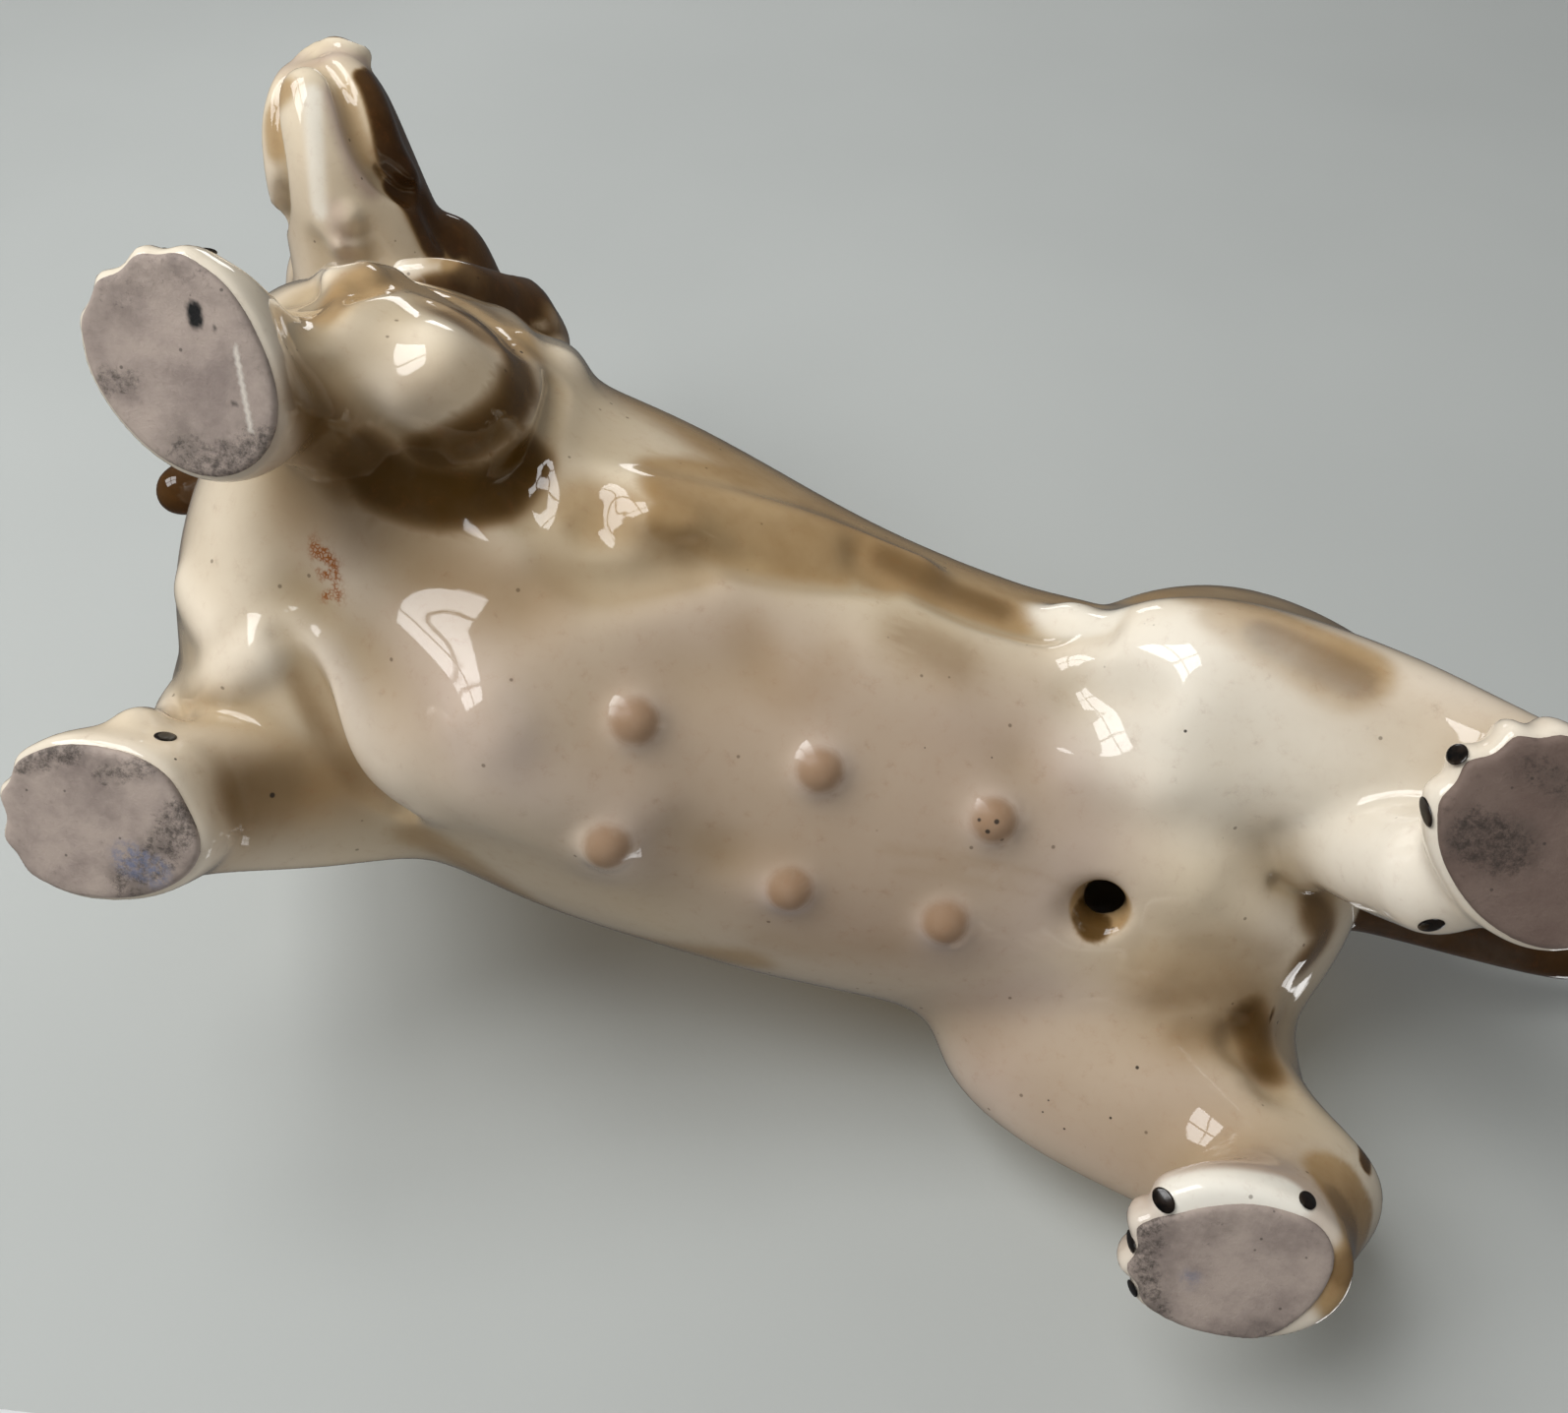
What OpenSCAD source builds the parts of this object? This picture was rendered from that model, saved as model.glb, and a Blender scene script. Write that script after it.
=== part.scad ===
// Standing short-legged hound in glazed porcelain, cast in separate pieces and luted together.
// The dog faces -X with its head turned to its left, which is -Y. The soles stand on z = 0,
// and the origin is under the middle of the whole figure. All sizes are in millimetres.

/* [Body] */
// length of the body casting from breast to rump
body_l = 134; // [100:1:200]
// greatest width of the body casting
body_w = 54; // [40:1:80]
// depth of the body from its underside to the line of the back
body_h = 50; // [35:1:80]
// height of the belly above the floor at mid length
belly_z = 16; // [10:0.5:40]
// thickness of the cast wall
wall_t = 3; // [1.5:0.1:5]
// sideways bend of the chest towards the side that the dog looks to
chest_bend = 7; // [0:0.5:10]
// sideways set of the hips towards the same side
hip_bend = 1.7; // [0:0.1:5]
// bore of the firing vent in the belly
vent_d = 5.4; // [3:0.1:9]
// width of the bevel round the mouth of the vent
vent_bevel = 1.1; // [0.4:0.1:2]
// bore of the air passage from the body into the neck
passage_d = 9; // [5:0.5:14]
// width across one teat
teat_d = 5.4; // [3:0.1:8]
// height that a teat stands proud of the belly
teat_h = 1.5; // [0.6:0.1:3]
// distance between the two rows of teats
teat_gap = 12.6; // [8:0.1:20]

/* [Legs] */
// how far the front soles stand ahead of the middle of the shoulders
fore_reach = 7.5; // [0:0.5:15]
// how far the hind soles stand behind the middle of the thighs
hind_reach = 9.8; // [0:0.1:18]
// how far the right hind sole stands ahead of that line, and the left one behind it
hind_step = 3.7; // [0:0.1:8]
// distance across the body between the front soles
fore_stance_w = 41; // [30:0.5:60]
// distance across the body between the hind soles
hind_stance_w = 45.8; // [30:0.5:60]
// length of a front sole
fore_paw_l = 18; // [12:0.5:26]
// width of a front sole
fore_paw_w = 14.2; // [9:0.5:20]
// length of a hind sole
hind_paw_l = 18.6; // [12:0.5:26]
// width of a hind sole
hind_paw_w = 14.4; // [9:0.5:20]
// length of a shoulder mass along the body
shoulder_l = 34; // [24:1:46]
// length of a thigh mass along the body
thigh_l = 38; // [26:1:50]
// thickness of a shoulder mass across the body
shoulder_w = 18; // [10:0.5:26]
// thickness of a thigh mass across the body
thigh_w = 20.5; // [12:0.5:28]
// depth of the grooves between the toes
toe_groove = 0.9; // [0.2:0.1:1.4]

/* [Head] */
// length of the head from the back of the skull to the nose
head_l = 55; // [40:1:80]
// width of the skull
head_w = 28; // [20:1:40]
// depth of the skull with the jaw
head_h = 27; // [20:1:40]
// height of the middle of the skull above the line of the back
head_rise = 18; // [10:1:40]
// turn of the head to the left, in degrees
head_turn = 64; // [0:1:80]
// downward slope of the muzzle, in degrees
head_drop = 16; // [0:1:30]
// width across one eye
eye_d = 4.6; // [3:0.1:7]
// length of an ear from its root to its tip
ear_l = 44; // [25:1:60]
// greatest width of an ear
ear_w = 20; // [12:0.5:30]
// thickness of an ear
ear_t = 5; // [3:0.1:7]
// room kept between a hanging ear and the shoulder under it
ear_room = 1; // [0.5:0.1:3]

/* [Tail] */
// length that the tail stands out behind the rump
tail_l = 31; // [15:1:60]
// thickness of the tail at its root
tail_d = 7; // [4:0.2:14]

/* [Hidden] */
cream = [0.90, 0.87, 0.78];
fawn = [0.72, 0.60, 0.44];
brown = [0.52, 0.41, 0.28];

// counts of facets and of rings between two rows of a table
body_sides = 30;
hollow_sides = 16;
leg_sides = 24;
head_sides = 20;
ear_sides = 12;
tail_sides = 12;
ring_steps = 2;
toes = 4;
teat_pairs = 3;
roundness = 2.2;

// the middle of the figure's outline, which the origin stands under
middle_x_share = 0.0535;
middle_y_share = -0.2424;
middle = [middle_x_share * body_l, middle_y_share * body_w, 0];

// places along the body of the teats, the vent, the skull and the root of the neck
teat_x_share = -0.106;
teat_pitch_share = 0.128;
vent_x_share = 0.250;
skull_x_share = -0.470;
skull_y_share = -0.370;
neck_x_share = -0.360;
neck_z_share = 0.80;

// body: place along it, half width, underside and back above the belly line, bend of the chest
breast_x_share = -0.502;
torso_shares = [
    [0.000, 0.08, 0.56, 0.62, 0.90],
    [0.012, 0.38, 0.32, 0.84, 0.90],
    [0.040, 0.64, 0.10, 0.98, 0.90],
    [0.095, 0.83, -0.05, 1.06, 0.90],
    [0.165, 0.90, -0.09, 1.09, 0.82],
    [0.255, 0.96, -0.08, 1.08, 0.60],
    [0.355, 0.98, -0.06, 1.05, 0.35],
    [0.455, 0.94, -0.02, 1.02, 0.12],
    [0.540, 0.90, 0.00, 1.00, 0.00],
    [0.655, 0.86, 0.04, 1.00, 0.00],
    [0.755, 0.90, 0.09, 1.02, 0.00],
    [0.845, 0.90, 0.14, 1.02, 0.00],
    [0.915, 0.78, 0.22, 0.99, 0.00],
    [0.965, 0.56, 0.34, 0.91, 0.00],
    [0.990, 0.30, 0.50, 0.80, 0.00],
    [1.000, 0.07, 0.62, 0.70, 0.00]
];

// neck: place between the body and the skull, half width and half depth as shares of the skull's
neck_shares = [
    [0.00, 0.00, 1.30, 1.40],
    [0.30, 0.22, 1.28, 1.34],
    [0.60, 0.52, 1.14, 1.16],
    [0.85, 0.82, 0.94, 0.94],
    [1.00, 1.00, 0.62, 0.62]
];

// head: place from the skull's back to the nose, half width, top and underside of each section
skull_share = 0.25;
head_shares = [
    [0.000, 0.10, 0.06, -0.02],
    [0.025, 0.46, 0.24, -0.24],
    [0.095, 0.80, 0.40, -0.42],
    [0.200, 0.98, 0.49, -0.50],
    [0.320, 1.00, 0.50, -0.52],
    [0.420, 0.92, 0.44, -0.50],
    [0.500, 0.76, 0.30, -0.48],
    [0.580, 0.67, 0.22, -0.46],
    [0.700, 0.60, 0.19, -0.44],
    [0.820, 0.53, 0.18, -0.41],
    [0.900, 0.44, 0.19, -0.35],
    [0.960, 0.31, 0.18, -0.22],
    [0.990, 0.18, 0.14, -0.08],
    [1.000, 0.06, 0.08, 0.02]
];

jaw_shares = [
    [0.440, 0.16, -0.38, 0.10],
    [0.500, 0.34, -0.38, 0.20],
    [0.620, 0.37, -0.37, 0.24],
    [0.760, 0.36, -0.35, 0.24],
    [0.870, 0.31, -0.31, 0.20],
    [0.930, 0.22, -0.28, 0.14],
    [0.950, 0.08, -0.27, 0.06]
];
eye_x_share = 0.21;
eye_y_share = 0.30;
eye_z_share = 0.20;

// ears: place forwards, outwards and upwards from the skull's middle, half width, thickness
left_ear_shares = [
    [-0.04, 0.62, 0.24, 0.36, 0.70],
    [-0.04, 0.98, 0.18, 0.66, 1.00],
    [0.00, 1.24, 0.04, 0.92, 1.00],
    [0.07, 1.32, -0.13, 1.00, 0.94],
    [0.15, 1.12, -0.31, 0.94, 0.88],
    [0.21, 0.84, -0.45, 0.70, 0.80],
    [0.25, 0.64, -0.52, 0.36, 0.60],
    [0.27, 0.55, -0.55, 0.07, 0.20]
];
right_ear_shares = [
    [-0.04, 0.62, 0.24, 0.36, 0.70],
    [-0.06, 0.98, 0.18, 0.66, 1.00],
    [-0.08, 1.20, 0.02, 0.92, 1.00],
    [-0.11, 1.30, -0.18, 1.00, 0.94],
    [-0.14, 1.38, -0.39, 0.94, 0.88],
    [-0.17, 1.44, -0.56, 0.70, 0.80],
    [-0.19, 1.46, -0.64, 0.36, 0.60],
    [-0.20, 1.46, -0.67, 0.07, 0.20]
];

// legs: height, place from the sole to the upper mass along the body, set back from it, place
// across, half length and half width between the paw's and the mass's, turn of the paw, grooves
fore_shares = [
    [0.000, 0.00, 0.00, 0.00, 0.00, 0.00, 1.0, 1.0],
    [0.030, 0.00, 0.00, 0.00, 0.06, 0.10, 1.0, 1.0],
    [0.075, 0.08, 0.00, 0.00, 0.04, 0.10, 1.0, 0.9],
    [0.125, 0.30, 0.00, 0.08, -0.20, -0.10, 0.9, 0.3],
    [0.190, 0.74, 0.00, 0.20, -0.26, -0.06, 0.6, 0.0],
    [0.260, 1.00, 0.02, 0.30, 0.00, 0.20, 0.2, 0.0],
    [0.360, 1.00, 0.07, 0.50, 0.48, 0.60, 0.0, 0.0],
    [0.480, 1.00, 0.04, 0.80, 0.88, 0.92, 0.0, 0.0],
    [0.620, 1.00, 0.00, 1.00, 1.00, 1.00, 0.0, 0.0],
    [0.780, 0.92, -0.01, 1.00, 0.78, 0.78, 0.0, 0.0],
    [0.900, 0.88, -0.02, 0.92, 0.30, 0.30, 0.0, 0.0],
    [0.970, 0.86, -0.02, 0.86, -0.30, -0.30, 0.0, 0.0],
    [1.000, 0.86, -0.02, 0.84, -0.98, -2.60, 0.0, 0.0]
];
hind_shares = [
    [0.000, 0.00, 0.00, 0.00, 0.00, 0.00, 1.0, 1.0],
    [0.030, 0.00, 0.00, 0.00, 0.05, 0.10, 1.0, 1.0],
    [0.075, 0.00, 0.02, 0.00, 0.04, 0.10, 1.0, 0.9],
    [0.130, 0.00, 0.11, 0.10, -0.14, -0.16, 0.9, 0.3],
    [0.200, 0.05, 0.19, 0.20, -0.14, -0.20, 0.6, 0.0],
    [0.280, 0.20, 0.18, 0.20, 0.24, 0.02, 0.3, 0.0],
    [0.370, 0.80, 0.04, 0.35, 0.88, 0.60, 0.0, 0.0],
    [0.480, 1.10, -0.02, 0.70, 1.06, 0.98, 0.0, 0.0],
    [0.620, 1.00, 0.00, 1.00, 1.00, 1.00, 0.0, 0.0],
    [0.780, 0.96, 0.00, 0.90, 0.78, 0.76, 0.0, 0.0],
    [0.900, 0.92, 0.00, 0.76, 0.34, 0.30, 0.0, 0.0],
    [0.970, 0.90, 0.00, 0.68, -0.26, -0.30, 0.0, 0.0],
    [1.000, 0.90, 0.00, 0.66, -0.84, -2.00, 0.0, 0.0]
];

// the middle of each upper mass, and the height of its top above the floor
shoulder_x_share = -0.362;
shoulder_y_share = 0.350;
shoulder_z_share = 0.84;
thigh_x_share = 0.345;
thigh_y_share = 0.370;
thigh_z_share = 0.86;
shoulder_x = shoulder_x_share * body_l;
shoulder_y = shoulder_y_share * body_w;
shoulder_h = belly_z + shoulder_z_share * body_h;
thigh_x = thigh_x_share * body_l;
thigh_y = thigh_y_share * body_w;
thigh_h = belly_z + thigh_z_share * body_h;

// where each sole stands and how far its toes turn out, in degrees
fore_foot_x = shoulder_x - fore_reach;
hind_foot_x = thigh_x + hind_reach;
fore_left_foot = [fore_foot_x, -fore_stance_w / 2 - chest_bend];
fore_right_foot = [fore_foot_x, fore_stance_w / 2 - chest_bend];
hind_left_foot = [hind_foot_x + hind_step, -hind_stance_w / 2 - hip_bend];
hind_right_foot = [hind_foot_x - hind_step, hind_stance_w / 2 - hip_bend];
fore_left_turn = 43;
fore_right_turn = 14;
hind_left_turn = 40;
hind_right_turn = 8;
paw_flare_share = 0.10;

// tail: place behind the rump, rise and thickness
tail_root_share = 0.462;
tail_z_share = 0.68;
tail_shares = [
    [0.00, 0.00, 1.30],
    [0.22, 0.00, 1.05],
    [0.45, -0.01, 0.86],
    [0.70, -0.01, 0.72],
    [0.90, 0.01, 0.60],
    [0.98, 0.02, 0.44],
    [1.00, 0.02, 0.14]
];

// smooth rows of a table: a cubic through the rows, with steps new rows to each old one
function cubic(a, b, c, d, t) =
    b + (c - a) * t / 2 + (2 * a - 5 * b + 4 * c - d) * t * t / 2 + (3 * b - a - 3 * c + d) * t * t * t / 2;
function smooth(rows, steps) =
    let (last = len(rows) - 1)
    [
        for (i = [0:last - 1])
            for (j = [0:steps - 1])
                cubic(rows[max(i - 1, 0)], rows[i], rows[i + 1], rows[min(i + 2, last)], j / steps),
        rows[last]
    ];

// rounded ring of points: half sizes a and b along the directions u and v
function power(v, p) = sign(v) * pow(abs(v), p);
function ring(centre, u, v, a, b, sides, squareness = roundness) =
    [
        for (k = [0:sides - 1])
            let (angle = 360 * k / sides)
            centre + u * a * power(cos(angle), 2 / squareness) + v * b * power(sin(angle), 2 / squareness)
    ];
function mean(points) = [for (p = points) 1] * points / len(points);
function unit(v) = v / norm(v);
function along(points, i) = unit(points[min(i + 1, len(points) - 1)] - points[max(i - 1, 0)]);

// solid skinned over a list of rings, closed by a fan of facets at each end
module skin(rings) {
    sides = len(rings[0]);
    count = len(rings);
    points = concat([for (r = rings) each r], [mean(rings[0]), mean(rings[count - 1])]);
    bottom = sides * count;
    walls = [
        for (i = [0:count - 2])
            for (k = [0:sides - 1])
                let (n = (k + 1) % sides, a = i * sides, b = a + sides)
                each [[a + k, b + k, a + n], [a + n, b + k, b + n]]
    ];
    ends = [
        for (k = [0:sides - 1])
            let (n = (k + 1) % sides, top = sides * (count - 1))
            each [[bottom, k, n], [bottom + 1, top + n, top + k]]
    ];
    polyhedron(points = points, faces = concat(walls, ends), convexity = 6);
}

// the body: sections across its length, drawn in by the wall for the hollow of the casting
thin_share = 0.04;
function torso_rings(inset, sides) =
    [
        for (r = smooth(torso_shares, ring_steps))
            let (
                x = (breast_x_share + 0.5) * body_l + (r[0] - 0.5) * (body_l - 2 * inset),
                low = belly_z + r[2] * body_h,
                high = belly_z + r[3] * body_h,
                w = max(r[1] * body_w / 2 - inset, thin_share * body_w),
                h = max((high - low) / 2 - inset, thin_share * body_h)
            )
            ring([x, -chest_bend * r[4], (low + high) / 2], [0, 1, 0], [0, 0, 1], w, h, sides)
    ];

// height of the belly's surface under a point
function belly_at(x, y) =
    let (
        rows = smooth(torso_shares, ring_steps),
        place = x / body_l - breast_x_share,
        w = lookup(place, [for (r = rows) [r[0], r[1] * body_w / 2]]),
        low = lookup(place, [for (r = rows) [r[0], r[2] * body_h]]),
        high = lookup(place, [for (r = rows) [r[0], r[3] * body_h]]),
        bend = lookup(place, [for (r = rows) [r[0], -chest_bend * r[4]]]),
        across = min(abs(y - bend) / w, 1)
    )
    belly_z + (low + high) / 2 - (high - low) / 2 * pow(1 - pow(across, roundness), 1 / roundness);

module torso_form() {
    skin(torso_rings(0, body_sides));
}

module teats() {
    ball_r = (teat_d * teat_d / 4 + teat_h * teat_h) / (2 * teat_h);
    for (i = [0:teat_pairs - 1])
        for (side = [-1, 1]) {
            x = (teat_x_share + i * teat_pitch_share) * body_l;
            y = side * teat_gap / 2;
            translate([x, y, belly_at(x, y) - teat_h + ball_r])
                sphere(r = ball_r);
        }
}

module vent() {
    x = vent_x_share * body_l;
    mouth_z = belly_at(x, 0);
    translate([x, 0, mouth_z - wall_t])
        cylinder(h = 3 * wall_t, d = vent_d);
    translate([x, 0, mouth_z - wall_t])
        cylinder(h = wall_t, d = vent_d + 2 * vent_bevel);
    translate([x, 0, mouth_z])
        cylinder(h = vent_bevel, d1 = vent_d + 2 * vent_bevel, d2 = vent_d);
}

module torso() {
    color(cream)
        difference() {
            union() {
                torso_form();
                teats();
            }
            skin(torso_rings(wall_t, hollow_sides));
            vent();
            passage();
        }
}

// the neck runs in a straight line from its root inside the chest to the middle of the skull
skull = [skull_x_share * body_l, skull_y_share * body_w, belly_z + body_h + head_rise];
neck_root = [neck_x_share * body_l, -chest_bend, belly_z + neck_z_share * body_h];
neck_run = unit(skull - neck_root);
neck_side = unit(cross([0, 0, 1], neck_run));
neck_front = cross(neck_run, neck_side);
function neck_rings(inset) =
    [
        for (r = smooth(neck_shares, ring_steps))
            ring(
                neck_root + (skull - neck_root) * r[1], neck_side, neck_front,
                r[2] * head_w / 2 - inset, r[3] * head_h / 2 - inset, head_sides
            )
    ];

// air passage through the wall of the body, hidden inside the root of the neck
module passage() {
    tilt = acos(neck_run[2]);
    turn = atan2(neck_run[1], neck_run[0]);
    translate(neck_root)
        rotate([0, tilt, turn])
            cylinder(h = norm(skull - neck_root) / 2 + wall_t, d = passage_d);
}

module at_skull() {
    translate(skull)
        rotate([0, head_drop, 180 + head_turn])
            children();
}

function head_rings(inset) =
    [
        for (r = smooth(head_shares, ring_steps))
            let (
                x = (0.5 - skull_share) * head_l + (r[0] - 0.5) * (head_l - 2 * inset),
                w = max(r[1] * head_w / 2 - inset, thin_share * head_w),
                h = max((r[2] - r[3]) / 2 * head_h - inset, thin_share * head_h)
            )
            ring([x, 0, (r[2] + r[3]) / 2 * head_h], [0, 1, 0], [0, 0, 1], w, h, head_sides)
    ];

function jaw_rings() =
    [
        for (r = jaw_shares)
            ring(
                [(r[0] - skull_share) * head_l, 0, r[2] * head_h], [0, 1, 0], [0, 0, 1],
                r[1] * head_w / 2, r[3] * head_h / 2, head_sides
            )
    ];

module head_form() {
    skin(neck_rings(0));
    at_skull() {
        skin(head_rings(0));
        skin(jaw_rings());
    }
}

module eyes() {
    for (side = [-1, 1])
        translate([eye_x_share * head_l, side * eye_y_share * head_w, eye_z_share * head_h])
            sphere(d = eye_d);
}

module head() {
    color(fawn)
        difference() {
            union() {
                head_form();
                at_skull()
                    eyes();
            }
            skin(neck_rings(wall_t));
            at_skull()
                skin(head_rings(wall_t));
            torso_form();
        }
}

// a flap of leather-like form along the rows of its table, for the ear on the given side
function ear_points(rows, side) =
    [for (r = rows) [r[0] * ear_l, side * r[1] * head_w / 2, r[2] * ear_l]];
module ear_form(shares, side) {
    rows = smooth(shares, ring_steps);
    points = ear_points(rows, side);
    skin([
        for (i = [0:len(rows) - 1])
            let (
                run = along(points, i),
                out = unit(cross([1, 0, 0], run)),
                front = cross(out, run)
            )
            ring(points[i], front, out, rows[i][3] * ear_w / 2, rows[i][4] * ear_t / 2, ear_sides)
    ]);
}

module ear(shares, side) {
    difference() {
        at_skull()
            ear_form(shares, side);
        head_form();
    }
}

// this ear hangs over a shoulder, so it is drawn in where it would come nearer than its room
module left_ear() {
    color(brown)
        difference() {
            ear(left_ear_shares, 1);
            fore_left_form(ear_room);
        }
}

module right_ear() {
    color(brown)
        ear(right_ear_shares, -1);
}

// one leg, sections lying flat from the sole up to the rounded top of its mass in the body
module leg_form(shares, foot, top, height, paw, mass, turn, room = 0) {
    skin([
        for (r = smooth(shares, ring_steps))
            let (
                x = foot[0] + (top[0] - foot[0]) * r[1] + mass[0] * r[2],
                y = foot[1] + (top[1] - foot[1]) * r[3],
                a = max(paw[0] + (mass[0] - paw[0]) * r[4], thin_share * mass[0]) / 2 + room,
                b = max(paw[1] + (mass[1] - paw[1]) * r[5], thin_share * mass[1]) / 2 + room,
                angle = turn * r[6],
                front = [-cos(angle), -sin(angle), 0],
                side = [sin(angle), -cos(angle), 0]
            )
            paw_ring([x, y, r[0] * (height + room)], front, side, a, b, r[7])
    ]);
}

// a leg's section, whose front is drawn in between the toes
function paw_ring(centre, front, side, a, b, grooves) =
    let (plain = ring([0, 0, 0], front, side, a, b, leg_sides))
    [
        for (k = [0:leg_sides - 1])
            let (
                angle = 360 * k / leg_sides,
                ahead = max(cos(angle), 0),
                dip = (1 + cos(angle * 2 * toes)) / 2 * ahead
            )
            centre + plain[k] * (1 - grooves * dip * toe_groove / a)
                + side * (side * plain[k]) * grooves * paw_flare_share * cos(angle)
    ];

module fore_left_form(room = 0) {
    leg_form(
        fore_shares, fore_left_foot, [shoulder_x, -shoulder_y - chest_bend], shoulder_h,
        [fore_paw_l, fore_paw_w], [shoulder_l, shoulder_w], fore_left_turn, room
    );
}

module front_left_leg() {
    color(cream)
        difference() {
            fore_left_form();
            torso_form();
        }
}

module front_right_leg() {
    color(cream)
        difference() {
            leg_form(
                fore_shares, fore_right_foot, [shoulder_x, shoulder_y - chest_bend], shoulder_h,
                [fore_paw_l, fore_paw_w], [shoulder_l, shoulder_w], -fore_right_turn
            );
            torso_form();
        }
}

module rear_left_leg() {
    color(cream)
        difference() {
            leg_form(
                hind_shares, hind_left_foot, [thigh_x, -thigh_y], thigh_h,
                [hind_paw_l, hind_paw_w], [thigh_l, thigh_w], hind_left_turn
            );
            torso_form();
        }
}

module rear_right_leg() {
    color(cream)
        difference() {
            leg_form(
                hind_shares, hind_right_foot, [thigh_x, thigh_y], thigh_h,
                [hind_paw_l, hind_paw_w], [thigh_l, thigh_w], -hind_right_turn
            );
            torso_form();
        }
}

module tail() {
    root = [tail_root_share * body_l, 0, belly_z + tail_z_share * body_h];
    reach = tail_l + body_l * (1 + breast_x_share - tail_root_share);
    rows = smooth(tail_shares, ring_steps);
    points = [for (r = rows) root + [r[0] * reach, 0, r[1] * reach]];
    color(brown)
        difference() {
            skin([
                for (i = [0:len(rows) - 1])
                    let (run = along(points, i), up = cross(run, [0, 1, 0]))
                    ring(
                        points[i], [0, 1, 0], up,
                        rows[i][2] * tail_d / 2, rows[i][2] * tail_d / 2, tail_sides
                    )
            ]);
            torso_form();
        }
}

module place() {
    translate(-middle)
        children();
}

place() torso();
place() head();
place() left_ear();
place() right_ear();
place() front_left_leg();
place() front_right_leg();
place() rear_left_leg();
place() rear_right_leg();
place() tail();
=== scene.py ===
"""Glazed porcelain hound: one skin of glaze over its luted castings, with unglazed soles,
painted claws and painted eyes, on a plain pale stage.

The figure is modelled as a field of distances, in millimetres, around the castings of the frame.
Strokes of a modelling tool raise or sink the field, and strokes of a brush colour it. A stroke is
placed either by pixels of the photograph, seen by the camera onto the figure, or by points of the
figure itself.
"""
import math

import bmesh
import bpy
import numpy as np
import openvdb
from bpy.props import FloatProperty, FloatVectorProperty, IntProperty, PointerProperty
from bpy.types import Operator, Panel, PropertyGroup
from mathutils import Matrix, Vector


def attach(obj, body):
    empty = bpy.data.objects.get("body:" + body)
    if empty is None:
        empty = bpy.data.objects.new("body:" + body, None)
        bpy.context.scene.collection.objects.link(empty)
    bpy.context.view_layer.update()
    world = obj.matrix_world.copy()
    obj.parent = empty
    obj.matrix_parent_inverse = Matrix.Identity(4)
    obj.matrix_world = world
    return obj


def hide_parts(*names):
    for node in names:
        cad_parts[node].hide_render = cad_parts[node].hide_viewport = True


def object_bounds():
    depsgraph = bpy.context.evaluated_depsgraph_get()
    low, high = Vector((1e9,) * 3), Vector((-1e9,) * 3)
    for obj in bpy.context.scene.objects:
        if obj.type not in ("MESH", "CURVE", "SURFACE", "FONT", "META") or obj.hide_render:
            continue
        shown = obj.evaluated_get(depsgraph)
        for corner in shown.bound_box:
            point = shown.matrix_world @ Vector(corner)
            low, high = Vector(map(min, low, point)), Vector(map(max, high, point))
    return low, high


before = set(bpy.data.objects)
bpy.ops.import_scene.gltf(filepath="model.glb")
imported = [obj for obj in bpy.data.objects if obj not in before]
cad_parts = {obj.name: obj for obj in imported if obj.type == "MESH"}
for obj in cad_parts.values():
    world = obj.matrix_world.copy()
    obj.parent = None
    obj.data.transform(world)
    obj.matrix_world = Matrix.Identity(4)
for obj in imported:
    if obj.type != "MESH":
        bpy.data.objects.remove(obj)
CAD_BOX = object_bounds()

bl_info = {
    "name": "Porcelain Hound",
    "version": (1, 0, 0),
    "blender": (4, 5, 0),
    "location": "3D View > Sidebar > Hound",
    "description": "Glazed skin, soles, claws and eyes of a porcelain hound",
    "category": "Object",
}

MM = 0.001
BODY = "root"

# the photograph and the camera that took it, in pixels and millimetres
PHOTO_SIZE = (1594, 1436)
PHOTO_MIDDLE = (PHOTO_SIZE[0] / 2, PHOTO_SIZE[1] / 2)
FOCAL_LENGTH = 1500
CAMERA_PLACE = np.array((-10.11, -39.03, -115.27))
CAMERA_RIGHT = np.array((0.9517, -0.2950, 0.0852))
CAMERA_DOWN = np.array((0.3070, 0.9079, -0.2855))
CAMERA_AHEAD = np.array((0.0069, 0.2978, 0.9546))
SENSOR_WIDTH = 36.0

EARS = ("left_ear", "right_ear")

# outward turn of each paw's toes, in degrees
PAW_TURNS = {
    "front_left_leg": 43,
    "front_right_leg": -14,
    "rear_left_leg": 40,
    "rear_right_leg": -8,
}
LEGS = tuple(PAW_TURNS)
# half of a sole's length and width
FORE_PAW_HALF = (9.6, 7.4)
HIND_PAW_HALF = (9.8, 7.5)
# corners lower than this stand on the floor
ON_FLOOR = 0.1

# the head's own axes, from its middle: ahead to the nose, to its left, and up
HEAD_TURN = 64
HEAD_DROP = 16
SKULL = np.array((-70.15, -6.89, 84.0))
TORSO_MIDDLE = (-5.0, 13.0, 44.0)
WALL = 3.0

# the firing vent: its taper and its lean are for each mm of depth from its mouth
VENT_AT = (26.33, 13.09)
VENT_MOUTH_Z = 20.5
VENT_RADIUS = 2.7
VENT_TAPER = 0.3
VENT_LEAN = (0.40, -0.23)
# fillet at the mouth
VENT_LIP = 1.5
# heights over its mouth: the middle of its bore and half its length, and where it stops to taper
BORE_MIDDLE = 2
BORE_HALF = 5
TAPERED = (-2, WALL + 1)
# the dark room behind the vent, which joins the bore with a fillet
CHAMBER_RADIUS = 15
CHAMBER_HALF = 9
CHAMBER_FILLET = 0.8
# the plug that keeps the vent closed while the castings' hollow is filled
PLUG_RADIUS = 4.6
PLUG_HALF = 3.5
PLUG_MIDDLE = 3.6
# windows of the field round the vent: half their width, and the heights where they start and end
PLUG_WINDOW = (8, 12, 34)
CHAMBER_WINDOW = (20, 10, 46)

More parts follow.
